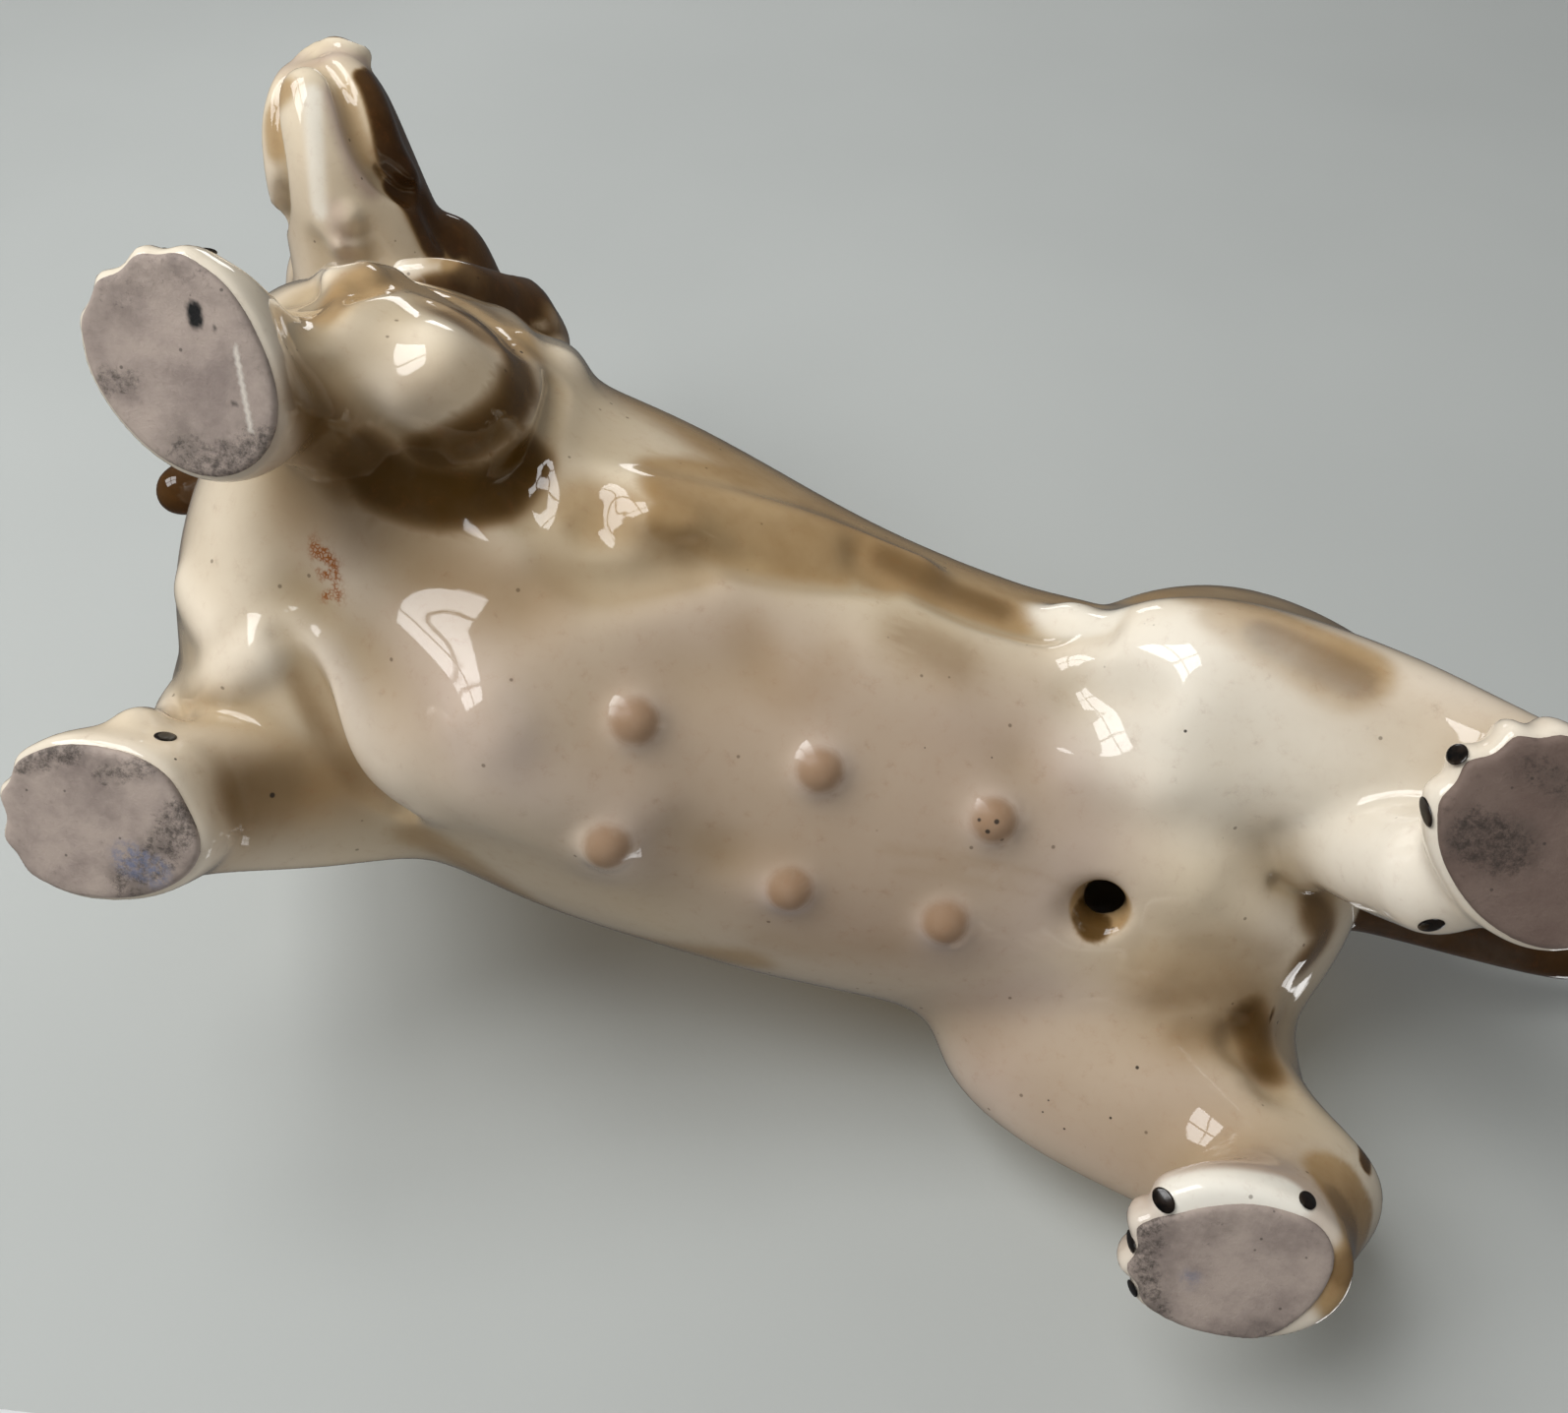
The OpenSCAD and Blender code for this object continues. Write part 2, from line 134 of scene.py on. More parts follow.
# the slip that lutes the castings: fillets to torso and neck, legs, tail and ears
NECK_FILLET = 7.0
LEG_FILLET = 5.0
TAIL_FILLET = 3.0
EAR_FILLET = 1.8
# blurs over the castings' facets: keen on ears, tail and paws, firm on head and legs, soft on
# the rest
KEEN_BLUR = 0.8
FIRM_BLUR = 1.05
SOFT_BLUR = 1.7
# places that a blur of the solid form finds nearly full lie deep inside it
DEEP_BLUR = 1.6
DEEP_SHARE = 0.985
# the paws stay keen up to this height, and this far over it less and less
KEEN_HEIGHT = 14
KEEN_FADE = 6
# widths in which a paw, a fine casting, and head or legs pass into what lies beside them
PAW_BESIDE = 3
FINE_BESIDE = 4
FIRM_BESIDE = 8

MARGIN = 4
FIELD_REACH = 5.0
# the glaze: how thick it lies, how high it ends over the floor, the fillet and the last blur there
GLAZE_THICK = 0.12
GLAZE_FOOT = 0.35
FOOT_FILLET = 0.9
FOOT_BLUR = 0.3
# depth in which places are drawn back into the castings' box, and the gap that they keep to it
TUCK = 6.0
TUCK_GAP = 0.05
# how much of the way to its neighbours' middle each round of relaxing moves a corner
EVENNESS = 0.6
RELAX_ROUNDS = 2


# the modelled form
def smooth_min(a, b, blend):
    """The union of two fields, with a fillet where they meet."""
    near = np.maximum(blend - np.abs(a - b), 0) / blend
    return np.minimum(a, b) - near * near * blend / 4


def smooth_max(a, b, blend):
    return -smooth_min(-a, -b, blend)


def blurred(values, sigma):
    """Gaussian blur of a field, with sigma in cells."""
    reach = int(math.ceil(2.6 * sigma))
    weights = np.exp(-0.5 * (np.arange(-reach, reach + 1) / sigma) ** 2)
    weights = (weights / weights.sum()).astype(np.float32)
    for axis in range(3):
        lines = np.moveaxis(values, axis, 0)
        count = len(lines)
        out = np.zeros_like(lines)
        for offset, weight in zip(range(-reach, reach + 1), weights):
            take = slice(max(offset, 0), min(count + offset, count))
            put = slice(max(-offset, 0), min(count - offset, count))
            out[put] += weight * lines[take]
            if offset < 0:
                out[:-offset] += weight * lines[:1]
            elif offset > 0:
                out[count - offset:] += weight * lines[-1:]
        values = np.moveaxis(out, 0, axis)
    return np.ascontiguousarray(values)


def flooded(open_cells, seeds):
    """The open cells that can be reached from the seeds."""
    region = np.zeros_like(open_cells)
    for seed in seeds:
        region[seed] = open_cells[seed]
    filled = -1
    while region.sum() != filled:
        filled = region.sum()
        for axis in range(3):
            for order in (1, -1):
                cells = np.moveaxis(region, axis, 0)[::order]
                ways = np.moveaxis(open_cells, axis, 0)[::order]
                for i in range(1, len(cells)):
                    cells[i] |= cells[i - 1] & ways[i]
    return region


def nearer(field, other, fade):
    """1 where a field is clearly the nearer of two and 0 where it isn't, fading in between."""
    return np.clip(0.5 + (other - field) / fade, 0, 1)


def smooth_path(points):
    """A cubic through the points, in four parts between two of them."""
    points = np.asarray(points, float)
    if len(points) < 3:
        return points
    padded = np.vstack((2 * points[0] - points[1], points, 2 * points[-1] - points[-2]))
    out = []
    for a, b, c, d in zip(padded, padded[1:], padded[2:], padded[3:]):
        for t in (0, 0.25, 0.5, 0.75):
            out.append(
                b + (c - a) * t / 2 + (2 * a - 5 * b + 4 * c - d) * t * t / 2
                + (3 * b - a - 3 * c + d) * t ** 3 / 2
            )
    out.append(points[-1])
    return np.array(out)


def distance_to_path(place, path):
    """Distance from places, given as three arrays, to a line through the points of a path."""
    if len(path) == 1:
        path = np.vstack((path, path + 1e-3))
    nearest = None
    for a, b in zip(path, path[1:]):
        run = b - a
        ahead = sum((place[i] - a[i]) * run[i] for i in range(3)) / max(run @ run, 1e-9)
        ahead = np.clip(ahead, 0, 1)
        gap = sum((place[i] - a[i] - ahead * run[i]) ** 2 for i in range(3))
        nearest = gap if nearest is None else np.minimum(nearest, gap)
    return np.sqrt(nearest)


def corners_of(mesh, kind=float):
    """The corners of a mesh, in millimetres."""
    places = np.zeros(len(mesh.vertices) * 3, kind)
    mesh.vertices.foreach_get("co", places)
    return places.reshape(-1, 3) / MM


def sight(pixel):
    """The way of the camera's ray through a pixel."""
    across, down = [(p - m) / FOCAL_LENGTH for p, m in zip(pixel, PHOTO_MIDDLE)]
    return CAMERA_AHEAD + across * CAMERA_RIGHT + down * CAMERA_DOWN


class Clay:
    """Distances to the figure's surface in millimetres, on a regular grid, negative inside."""

    # how far apart a slope is measured, and how far from the camera the figure is looked for
    SLOPE_GAP = 0.6
    SIGHT_RANGE = (90, 260)

    def __init__(self, low, high, step, reach):
        self.low = np.array(low, float)
        self.step = step
        self.reach = reach
        self.shape = tuple(int(math.ceil((h - l) / step)) + 1 for l, h in zip(low, high))
        self.form = None

    def casting(self, node):
        """The field of one casting of the frame."""
        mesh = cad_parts[node].data
        mesh.calc_loop_triangles()
        corners = np.zeros(len(mesh.loop_triangles) * 3, np.int32)
        mesh.loop_triangles.foreach_get("vertices", corners)
        grid = openvdb.FloatGrid.createLevelSetFromPolygons(
            (corners_of(mesh, np.float32) - self.low).astype(np.float32),
            triangles=corners.reshape(-1, 3).astype(np.uint32),
            transform=openvdb.createLinearTransform(voxelSize=self.step),
            halfWidth=self.reach / self.step,
        )
        values = np.full(self.shape, self.reach, np.float32)
        grid.copyToArray(values, ijk=(0, 0, 0))
        return values

    def cell(self, place):
        return tuple(int(round(v)) for v in (np.array(place) - self.low) / self.step)

    def line(self, axis, kind=np.float32):
        """The cells' places along an axis."""
        return self.low[axis] + self.step * np.arange(self.shape[axis], dtype=kind)

    def window(self, low, high):
        """Slices of the grid between two corners, and the places of their cells."""
        first = [max(int((l - o) / self.step), 0) for l, o in zip(low, self.low)]
        last = [
            min(int((h - o) / self.step) + 2, n) for h, o, n in zip(high, self.low, self.shape)
        ]
        slices = tuple(slice(a, b) for a, b in zip(first, last))
        place = [
            (self.low[i] + self.step * np.arange(first[i], last[i], dtype=np.float32))
            .reshape([-1 if i == j else 1 for j in range(3)])
            for i in range(3)
        ]
        return slices, place

    def sample(self, places, values=None):
        """The field at places, an array of points."""
        values = self.form if values is None else values
        where = (np.asarray(places, float) - self.low) / self.step
        where = np.clip(where, 0, np.array(self.shape) - 1.001)
        cell = where.astype(int)
        part = where - cell
        out = 0
        for i in (0, 1):
            for j in (0, 1):
                for k in (0, 1):
                    weight = (
                        abs(1 - i - part[:, 0]) * abs(1 - j - part[:, 1]) * abs(1 - k - part[:, 2])
                    )
                    out = out + weight * values[cell[:, 0] + i, cell[:, 1] + j, cell[:, 2] + k]
        return out

    def slope(self, places):
        """Unit normals of the field at places."""
        out = []
        for axis in range(3):
            side = np.zeros(3)
            side[axis] = self.SLOPE_GAP
            out.append(self.sample(places + side) - self.sample(places - side))
        out = np.stack(out, 1)
        return out / np.maximum(np.linalg.norm(out, axis=1, keepdims=True), 1e-9)

    def seen(self, pixel):
        """The point of the figure that the camera sees at a pixel, or the nearest it passes."""
        ray = sight(pixel)
        ray = ray / np.linalg.norm(ray)
        ways = np.arange(*self.SIGHT_RANGE, self.step / 2)
        places = CAMERA_PLACE + ways[:, None] * ray
        high = self.low + self.step * np.array(self.shape)
        inside = np.all((places > self.low) & (places < high), 1)
        depth = np.where(inside, self.sample(places), self.reach)
        hit = int(np.argmax(depth < 0)) if (depth < 0).any() else int(np.argmin(depth))
        return places[hit]

    def seen_path(self, pixels):
        return smooth_path([self.seen(p) for p in pixels])

    def stroke(self, path, raised, width):
        """A stroke of the tool along a path: raised, or sunk where negative."""
        margin = 2.4 * width
        slices, place = self.window(path.min(0) - margin, path.max(0) + margin)
        gap = distance_to_path(place, path)
        self.form[slices] -= (raised * np.exp(-(gap / width) ** 2)).astype(np.float32)

    def roll(self, path, radius, blend):
        """A roll of clay along a path, added with a fillet."""
        margin = radius + 1.5 * blend
        slices, place = self.window(path.min(0) - margin, path.max(0) + margin)
        gap = (distance_to_path(place, path) - radius).astype(np.float32)
        self.form[slices] = smooth_min(self.form[slices], gap, blend)

    def lump(self, middle, radii, turn, blend, cut=False):
        """An ellipsoid of clay, turned to axes, added with a fillet or cut out."""
        reach = max(radii) + 1.5 * blend
        slices, place = self.window(middle - reach, middle + reach)
        off = [place[i] - middle[i] for i in range(3)]
        off = [sum(off[i] * turn[j][i] for i in range(3)) for j in range(3)]
        near = np.sqrt(sum((off[i] / radii[i]) ** 2 for i in range(3)))
        slope = np.sqrt(sum((off[i] / radii[i] ** 2) ** 2 for i in range(3)))
        ball = (near * (near - 1) / np.maximum(slope, 1e-6)).astype(np.float32)
        join = smooth_max if cut else smooth_min
        self.form[slices] = join(self.form[slices], -ball if cut else ball, blend)

    def mesh(self, name):
        """A closed mesh of quads around the field, in metres."""
        grid = openvdb.FloatGrid(self.reach)
        grid.copyFromArray(np.ascontiguousarray(self.form, np.float32))
        grid.transform = openvdb.createLinearTransform(voxelSize=self.step)
        places, quads = grid.convertToQuads(0.0)
        out = bpy.data.meshes.new(name)
        out.from_pydata(((places + self.low) * MM).tolist(), [], quads.tolist())
        out.update()
        return out


def head_axes():
    turn = math.radians(180 + HEAD_TURN)
    drop = math.radians(HEAD_DROP)
    axes = Matrix.Rotation(turn, 3, "Z") @ Matrix.Rotation(drop, 3, "Y")
    return np.array(axes).T


HEAD_AXES = head_axes()


def on_head(ahead, left, up):
    return SKULL + np.array((ahead, left, up)) @ HEAD_AXES


def head_path(points):
    return smooth_path([on_head(*p) for p in points])


# strokes of the modelling tool
# along pixels of the photograph: raised height and half width in mm, then the pixels
SEEN_STROKES = (
    # crease round the left elbow, and the pit behind it
    (-1.3, 1.1, ((566, 388), (560, 420), (548, 455), (530, 485), (500, 505))),
    (-1.5, 2.4, ((700, 575), (600, 590), (545, 540), (535, 500))),
    # valley between the left forearm and the elbow's round mass, and the mass
    (-1.9, 2.0, ((306, 296), (325, 330), (348, 385), (375, 430), (410, 470))),
    (2.0, 4.6, ((446, 376), (480, 408))),
    # rounded edge of the rib cage above the left flank
    (0.8, 3.6, ((655, 550), (700, 560))),
    (0.9, 3.0, ((560, 505), (640, 500), (740, 520), (840, 545), (930, 580))),
    (0.9, 3.0, ((668, 522), (690, 534))),
    (-0.9, 3.0, ((596, 500), (604, 512))),
    (0.7, 2.4, ((540, 556), (566, 558))),
    (-0.4, 2.2, ((540, 500), (560, 504))),
    # crease under the rib cage, running back along the loin
    (-0.9, 1.8, ((590, 545), (650, 550), (718, 569), (816, 585), (896, 590))),
    (-1.1, 2.2, ((880, 565), (930, 590), (985, 618), (1060, 640), (1120, 640))),
    # folds of skin between the neck and the left shoulder
    (0.5, 1.6, ((318, 312), (350, 290), (400, 281), (440, 284), (490, 305), (535, 345))),
    (-0.45, 1.3, ((322, 325), (350, 303), (400, 292), (440, 295), (485, 318), (525, 355))),
    (0.25, 1.4, ((325, 345), (345, 318), (385, 304), (430, 306), (475, 327), (510, 360))),
    # the elbow's round mass is flatter towards the chest
    (1.3, 3.2, ((372, 290), (394, 290))),
    (-1.7, 4.0, ((314, 340), (344, 352))),
    (1.0, 3.2, ((366, 404), (388, 414))),
    (-0.6, 3.4, ((394, 322), (398, 352))),
    # hollow of the left forearm between the sole and the elbow
    (-0.8, 5.0, ((400, 480), (450, 500))),
    # groin folds and the hollow under the rump
    (-0.9, 1.2, ((1296, 893), (1325, 903), (1352, 903))),
    (1.0, 4.0, ((1220, 900), (1270, 930), (1310, 960))),
    (0.8, 4.0, ((1180, 990), (1230, 1010), (1270, 1030))),
    (-1.0, 2.4, ((1262, 1060), (1285, 1085), (1292, 1100))),
    # crease between the right foreleg and the barrel of the chest, and the barrel's edge
    (-1.9, 1.5, ((284, 650), (305, 680), (325, 715), (345, 755), (372, 790), (410, 815))),
    (0.9, 2.2, ((300, 640), (335, 680), (362, 725), (390, 765), (440, 805))),
    # ridge of the right foreleg
    (1.5, 2.0, ((140, 734), (180, 714), (225, 690), (276, 658))),
    (-0.9, 2.6, ((292, 606), (304, 618))),
    (-0.8, 3.2, ((200, 815), (250, 808), (300, 800))),
    # the barrel falls away towards the breast
    (-1.1, 6.0, ((290, 560), (325, 620), (345, 650))),
    (0.9, 7.0, ((500, 620), (530, 700), (540, 770))),
    # crest of the barrel behind the elbows, and the fall towards the left elbow
    (1.5, 7.5, ((430, 770), (520, 800), (620, 830))),
    (-1.3, 4.2, ((395, 580), (450, 592), (520, 600))),
    # low ridge slanting over the chest
    (0.5, 3.4, ((380, 592), (426, 650), (486, 718))),
    (0.9, 4.5, ((488, 728), (500, 742))),
    (0.6, 4.0, ((362, 566), (372, 580))),
    # outer bulge of the left ear
    (1.2, 2.6, ((556, 325), (568, 350), (574, 372))),
    # the left thigh rises from the belly
    (1.2, 6.0, ((1195, 720), (1205, 790), (1195, 860))),
    (1.3, 2.6, ((1090, 630), (1100, 655))),
    (-0.8, 2.6, ((1100, 704), (1140, 702), (1165, 704))),
    (0.9, 3.4, ((1100, 784), (1150, 790), (1170, 795))),
    # throat, and the tip of the muzzle, lower on its right side
    (1.0, 1.2, ((352, 222), (345, 250), (334, 285))),
    (1.0, 1.2, ((354, 222), (363, 250), (374, 285))),
    (-1.3, 2.6, ((296, 54), (314, 44))),
    # breast bone
    (0.6, 3.0, ((190, 600), (215, 640))),
    # small dents of the modeller's fingers along the belly
    (-0.35, 4.0, ((700, 690), (760, 680))),
    (0.3, 4.0, ((890, 660), (960, 690))),
    (-0.35, 3.5, ((1040, 780), (1080, 800))),
    (-0.3, 3.0, ((690, 850), (730, 870))),
)

# teats of the two rows, by pixel
TEATS = ((646, 733), (834, 784), (1012, 835), (617, 864), (803, 907), (961, 940))
TEAT_RISE = 1.05
TEAT_HALF = 1.95

# rolls of clay in mm: radius, fillet, places
ROLLS = (
    # tip of the left ear, lying on the shoulder
    (1.7, 2.0, ((-67.0, -20.4, 61.6), (-64.2, -21.4, 62.0), (-60.6, -21.8, 65.0),
                (-58.5, -20.6, 70.0))),
    # tip of the right ear, turned outwards
    (2.8, 3.0, ((-85.4, 8.6, 64.0), (-87.0, 12.2, 57.4))),
    # inner side of the left hock
    (5.0, 3.0, ((43.0, 4.0, 33.0), (46.5, 0.3, 25.4), (48.3, -1.6, 17.0), (49.4, -3.8, 9.0))),
)

# on both sides of the head: raised height, half width, then places ahead, aside and up
HEAD_STROKES = (
    # jaw between the lips
    (0.9, 2.2, ((37.0, 0.0, -8.8), (31.0, 0.0, -12.0), (22.0, 0.0, -13.2))),
    # lips
    (0.9, 2.0, ((38.0, 3.8, -2.6), (34.0, 6.8, -5.4), (29.0, 7.8, -7.0), (25.0, 8.6, -6.6))),
    # mouth between the lips and the jaw, and its corner
    (-1.7, 1.0, ((39.8, 0.0, -5.0), (38.2, 2.4, -5.8), (34.6, 4.2, -8.4), (30.6, 4.7, -9.8),
                 (27.4, 5.4, -9.9), (24.6, 6.6, -8.6), (23.0, 7.8, -7.2))),
    (-0.9, 1.3, ((25.6, 6.6, -8.8), (23.6, 7.8, -7.4))),
    (-0.8, 1.1, ((21.5, 9.6, -5.6), (17.0, 10.2, -5.6))),
    # brow and the rim of the eye socket
    (0.9, 2.0, ((16.5, 4.0, 9.2), (13.5, 7.6, 9.6), (9.5, 10.0, 8.4))),
    (-0.7, 1.5, ((17.0, 6.2, 3.6), (13.5, 9.2, 3.4), (9.0, 10.8, 4.0))),
    # cheek
    (0.7, 4.0, ((4.0, 12.2, -3.0), (8.5, 11.6, -4.0))),
    # furrow of the forehead and the stop
    (-0.7, 2.2, ((18.5, 0.0, 7.5), (12.0, 0.0, 11.5), (5.0, 0.0, 13.2))),
    # bridge of the nose
    (0.5, 2.2, ((22, 0.0, 6.2), (30, 0.0, 5.2), (37, 0.0, 5.0))),
    # throat
    (-0.8, 2.0, ((20.0, 2.6, -13.4), (15.0, 3.6, -14.0))),
)
NOSE_AT = (39.8, 3.0, 1.6)
NOSE_HALF = (2.5, 3.4, 2.6)
NOSE_FILLET = 1.6
EYE_AT = (12.4, 8.9, 5.6)
# lumps on both sides: the middle between the two, their place from it ahead, aside and up, their
# half sizes, their fillet, and whether they are cut out
FACE_LUMPS = (
    # cheek
    (0, (11.0, 9.8, 0.5), (6.5, 3.4, 5.0), 3.0, False),
    # nostril
    (NOSE_AT[1], (41.6, 1.9, 2.0), (1.3, 0.75, 0.7), 0.7, True),
    # socket of the eye
    (0, (EYE_AT[0] + 0.3, EYE_AT[1] + 0.9, EYE_AT[2]), (3.1, 2.6, 2.5), 1.2, True),
)

# along the figure on its hidden sides: raised height, half width, then places in mm
BODY_STROKES = (
    # furrow along the back
    (-0.6, 3.2, ((-36, 7, 68), (-10, 11, 66), (20, 13, 66), (48, 13, 67))),
    # edges of the shoulder blades
    (0.7, 3.0, ((-56, -10, 48), (-50, -6, 60), (-44, -2, 67))),
    (0.7, 3.0, ((-56, 24, 48), (-50, 22, 60), (-44, 17, 67))),
    (-0.6, 2.6, ((-36, -12, 40), (-37, -9, 52), (-36, -3, 62))),
    (-0.6, 2.6, ((-36, 31, 40), (-37, 28, 52), (-36, 20, 62))),
    # outer corner of the left ear
    (-2.4, 3.2, ((-58.5, -25.5, 64), (-57.0, -26.0, 74), (-56.5, -25.5, 84))),
    # edges of the thighs
    (-0.6, 2.6, ((26, -12, 36), (22, -9, 48), (24, -3, 60))),
    (-0.6, 2.6, ((26, 37, 36), (22, 35, 48), (24, 29, 60))),
)

# on each paw: raised height, half width, angles from its toes in degrees, then share of the sole's
# size and height
PAW_STROKES = (
    # gaps between the toes
    (-0.55, 1.0, (-30, 0, 30), ((1.06, 0.5), (1.05, 2.6), (0.93, 4.8), (0.70, 6.4))),
    # backs of the toes
    (0.3, 1.5, (-45, -15, 15, 45), ((1.0, 1.6), (0.98, 3.6), (0.80, 5.6))),
)


def on_both_sides(points):
    """Points of the head, and the same mirrored unless they lie in its middle."""
    mirrored = tuple((a, -l, u) for a, l, u in points)
    return (points,) if mirrored == points else (points, mirrored)


def paw_frame(leg):
    """The middle of a sole, and the directions of its toes and of its left side."""
    places = corners_of(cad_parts[leg].data)
    sole = places[places[:, 2] < ON_FLOOR]
    middle = (sole.min(0) + sole.max(0)) / 2
    turn = math.radians(PAW_TURNS[leg])
    return middle, np.array((-math.cos(turn), -math.sin(turn), 0)), np.array(
        (math.sin(turn), -math.cos(turn), 0)
    )


def paw_point(leg, angle, share, height):
    """A place on a paw at an angle from its toes, in degrees, at a share of its size."""
    middle, ahead, left = paw_frame(leg)
    half = FORE_PAW_HALF if leg.startswith("front") else HIND_PAW_HALF
    a = math.radians(angle)
    place = middle + share * (half[0] * math.cos(a) * ahead + half[1] * math.sin(a) * left)
    place[2] = height
    return place


def round_vent(clay, half, low, high):
    """A window of the field: its slices, what lies aside from the vent's mouth, and heights."""
    slices, place = clay.window(
        (VENT_AT[0] - half, VENT_AT[1] - half, low), (VENT_AT[0] + half, VENT_AT[1] + half, high)
    )
    return slices, [place[i] - VENT_AT[i] for i in (0, 1)], place[2]


def fill_hollow(clay, form):
    """Fills the hollow of the castings, with its vent and its air passage."""
    slices, aside, height = round_vent(clay, *PLUG_WINDOW)
    deep = height - VENT_MOUTH_Z
    plug = np.maximum(np.hypot(*aside) - PLUG_RADIUS, np.abs(deep - PLUG_MIDDLE) - PLUG_HALF)
    form[slices] = np.minimum(form[slices], plug.astype(np.float32))
    hollow = flooded(form > 0, [clay.cell(TORSO_MIDDLE), clay.cell(SKULL)])
    full = blurred(((form < 0) | hollow).astype(np.float32), DEEP_BLUR / clay.step)
    form[(full > DEEP_SHARE) | hollow] = -clay.reach


def model_form(clay):
    """The castings luted together, with their facets smoothed away."""
    torso = clay.casting("torso")
    head = clay.casting("head")
    legs = None
    form = smooth_min(torso, head, NECK_FILLET)
    for leg in LEGS:
        field = clay.casting(leg)
        form = smooth_min(form, field, LEG_FILLET)
        legs = field if legs is None else np.minimum(legs, field)
    fine = clay.casting("tail")
    form = smooth_min(form, fine, TAIL_FILLET)
    for ear in EARS:
        field = clay.casting(ear)
        form = smooth_min(form, field, EAR_FILLET)
        fine = np.minimum(fine, field)
    fill_hollow(clay, form)

    middle = np.minimum(head, legs)
    low = np.clip((KEEN_HEIGHT + KEEN_FADE - clay.line(2)) / KEEN_FADE, 0, 1)
    low = low[None, None, :] * nearer(legs, torso, PAW_BESIDE)
    keen = np.maximum(nearer(fine, np.minimum(torso, middle), FINE_BESIDE), low)
    firm = nearer(middle, torso, FIRM_BESIDE)
    keenly = blurred(form, KEEN_BLUR / clay.step)
    firmly = blurred(keenly, FIRM_BLUR / clay.step)
    softly = blurred(firmly, SOFT_BLUR / clay.step)
    form = softly + firm * (firmly - softly)
    clay.form = form + keen * (keenly - form) - GLAZE_THICK


def model_face(clay):
    for raised, width, points in HEAD_STROKES:
        for side in on_both_sides(points):
            clay.stroke(head_path(side), raised, width)
    clay.lump(on_head(*NOSE_AT), NOSE_HALF, HEAD_AXES, NOSE_FILLET)
    for side in (1, -1):
        for middle, (ahead, aside, up), half, fillet, cut in FACE_LUMPS:
            place = on_head(ahead, middle + side * aside, up)
            clay.lump(place, half, HEAD_AXES, fillet, cut)


def model_paws(clay):
    for leg in LEGS:
        for raised, width, angles, profile in PAW_STROKES:
            for angle in angles:
                path = smooth_path([paw_point(leg, angle, *place) for place in profile])
                clay.stroke(path, raised, width)


def cut_vent(clay):
    """Cuts the bore of the vent, leaning and tapered, and the dark room behind it."""
    slices, aside, height = round_vent(clay, *CHAMBER_WINDOW)
    deep = height - VENT_MOUTH_Z
    along = np.clip(deep, *TAPERED)
    reach = np.hypot(*(aside[i] - VENT_LEAN[i] * along for i in (0, 1)))
    bore = np.maximum(
        reach - VENT_RADIUS + VENT_TAPER * along, np.abs(deep - BORE_MIDDLE) - BORE_HALF
    )
    rise = (height - (VENT_MOUTH_Z + WALL + CHAMBER_HALF)) / CHAMBER_HALF
    chamber = np.sqrt((np.hypot(*aside) / CHAMBER_RADIUS) ** 2 + rise ** 2)
    hollow = smooth_min(bore, (chamber - 1) * CHAMBER_HALF, CHAMBER_FILLET).astype(np.float32)
    clay.form[slices] = smooth_max(clay.form[slices], -hollow, VENT_LIP)


def model_clay(cell):
    low, high = [np.array(c) / MM for c in CAD_BOX]
    clay = Clay(low - MARGIN, high + MARGIN, cell, FIELD_REACH)
    model_form(clay)
    for raised, width, pixels in SEEN_STROKES:
        clay.stroke(clay.seen_path(pixels), raised, width)
    for raised, width, points in BODY_STROKES:
        clay.stroke(smooth_path(points), raised, width)
    for pixel in TEATS:
        clay.stroke(clay.seen(pixel)[None], TEAT_RISE, TEAT_HALF)
    for radius, blend, points in ROLLS:
        clay.roll(smooth_path(points), radius, blend)
    model_face(clay)
    model_paws(clay)
    cut_vent(clay)
    floor = np.broadcast_to((GLAZE_FOOT - clay.line(2))[None, None, :], clay.shape)
    clay.form = blurred(smooth_max(clay.form, floor, FOOT_FILLET), FOOT_BLUR / clay.step)
    return clay


# from the field to a mesh
def drawn_back(places, clay):
    """Places moved onto the surface of the field."""
    return places - clay.sample(places)[:, None] * clay.slope(places)


def relaxed(mesh, clay):
    """Evens out a mesh's corners and draws them back onto the field."""
    places = corners_of(mesh)
    ends = np.zeros(len(mesh.edges) * 2, np.int32)
    mesh.edges.foreach_get("vertices", ends)
    ends = ends.reshape(-1, 2)
    count = np.bincount(ends.ravel(), minlength=len(places))[:, None]
    for _ in range(RELAX_ROUNDS):
        total = np.stack([
            np.bincount(ends[:, 0], places[ends[:, 1], axis], len(places))
            + np.bincount(ends[:, 1], places[ends[:, 0], axis], len(places))
            for axis in range(3)
        ], 1)
        places = drawn_back((1 - EVENNESS) * places + EVENNESS * total / count, clay)
    mesh.vertices.foreach_set("co", (places * MM).ravel())
    mesh.update()
    return places


def modified(obj):
    """Turns an object's modifiers into its mesh."""
    graph = bpy.context.evaluated_depsgraph_get()
    mesh = bpy.data.meshes.new_from_object(obj.evaluated_get(graph))
    obj.modifiers.clear()
    obj.data = mesh
    return obj


def thinned(obj, triangles):
    """Collapses an object's mesh to a number of triangles."""
    now = sum(len(p.vertices) - 2 for p in obj.data.polygons)
    if now > triangles:
        obj.modifiers.new("Thin", "DECIMATE").ratio = triangles / now
        modified(obj)
    return obj


def tucked(places):
    """Draws what stands out of the castings' box back inside, the more the nearer to its sides."""
    places = places.copy()
    for axis, side, over in MODEL.get("overshoot", ()):
        limit = CAD_BOX[(side + 1) // 2][axis] / MM
        deep = np.maximum(side * (places[:, axis] - limit) + TUCK, 0)
        places[:, axis] -= side * over * (deep / (TUCK + over)) ** 2
    places[:, 2] = np.maximum(places[:, 2], 0)
    return places


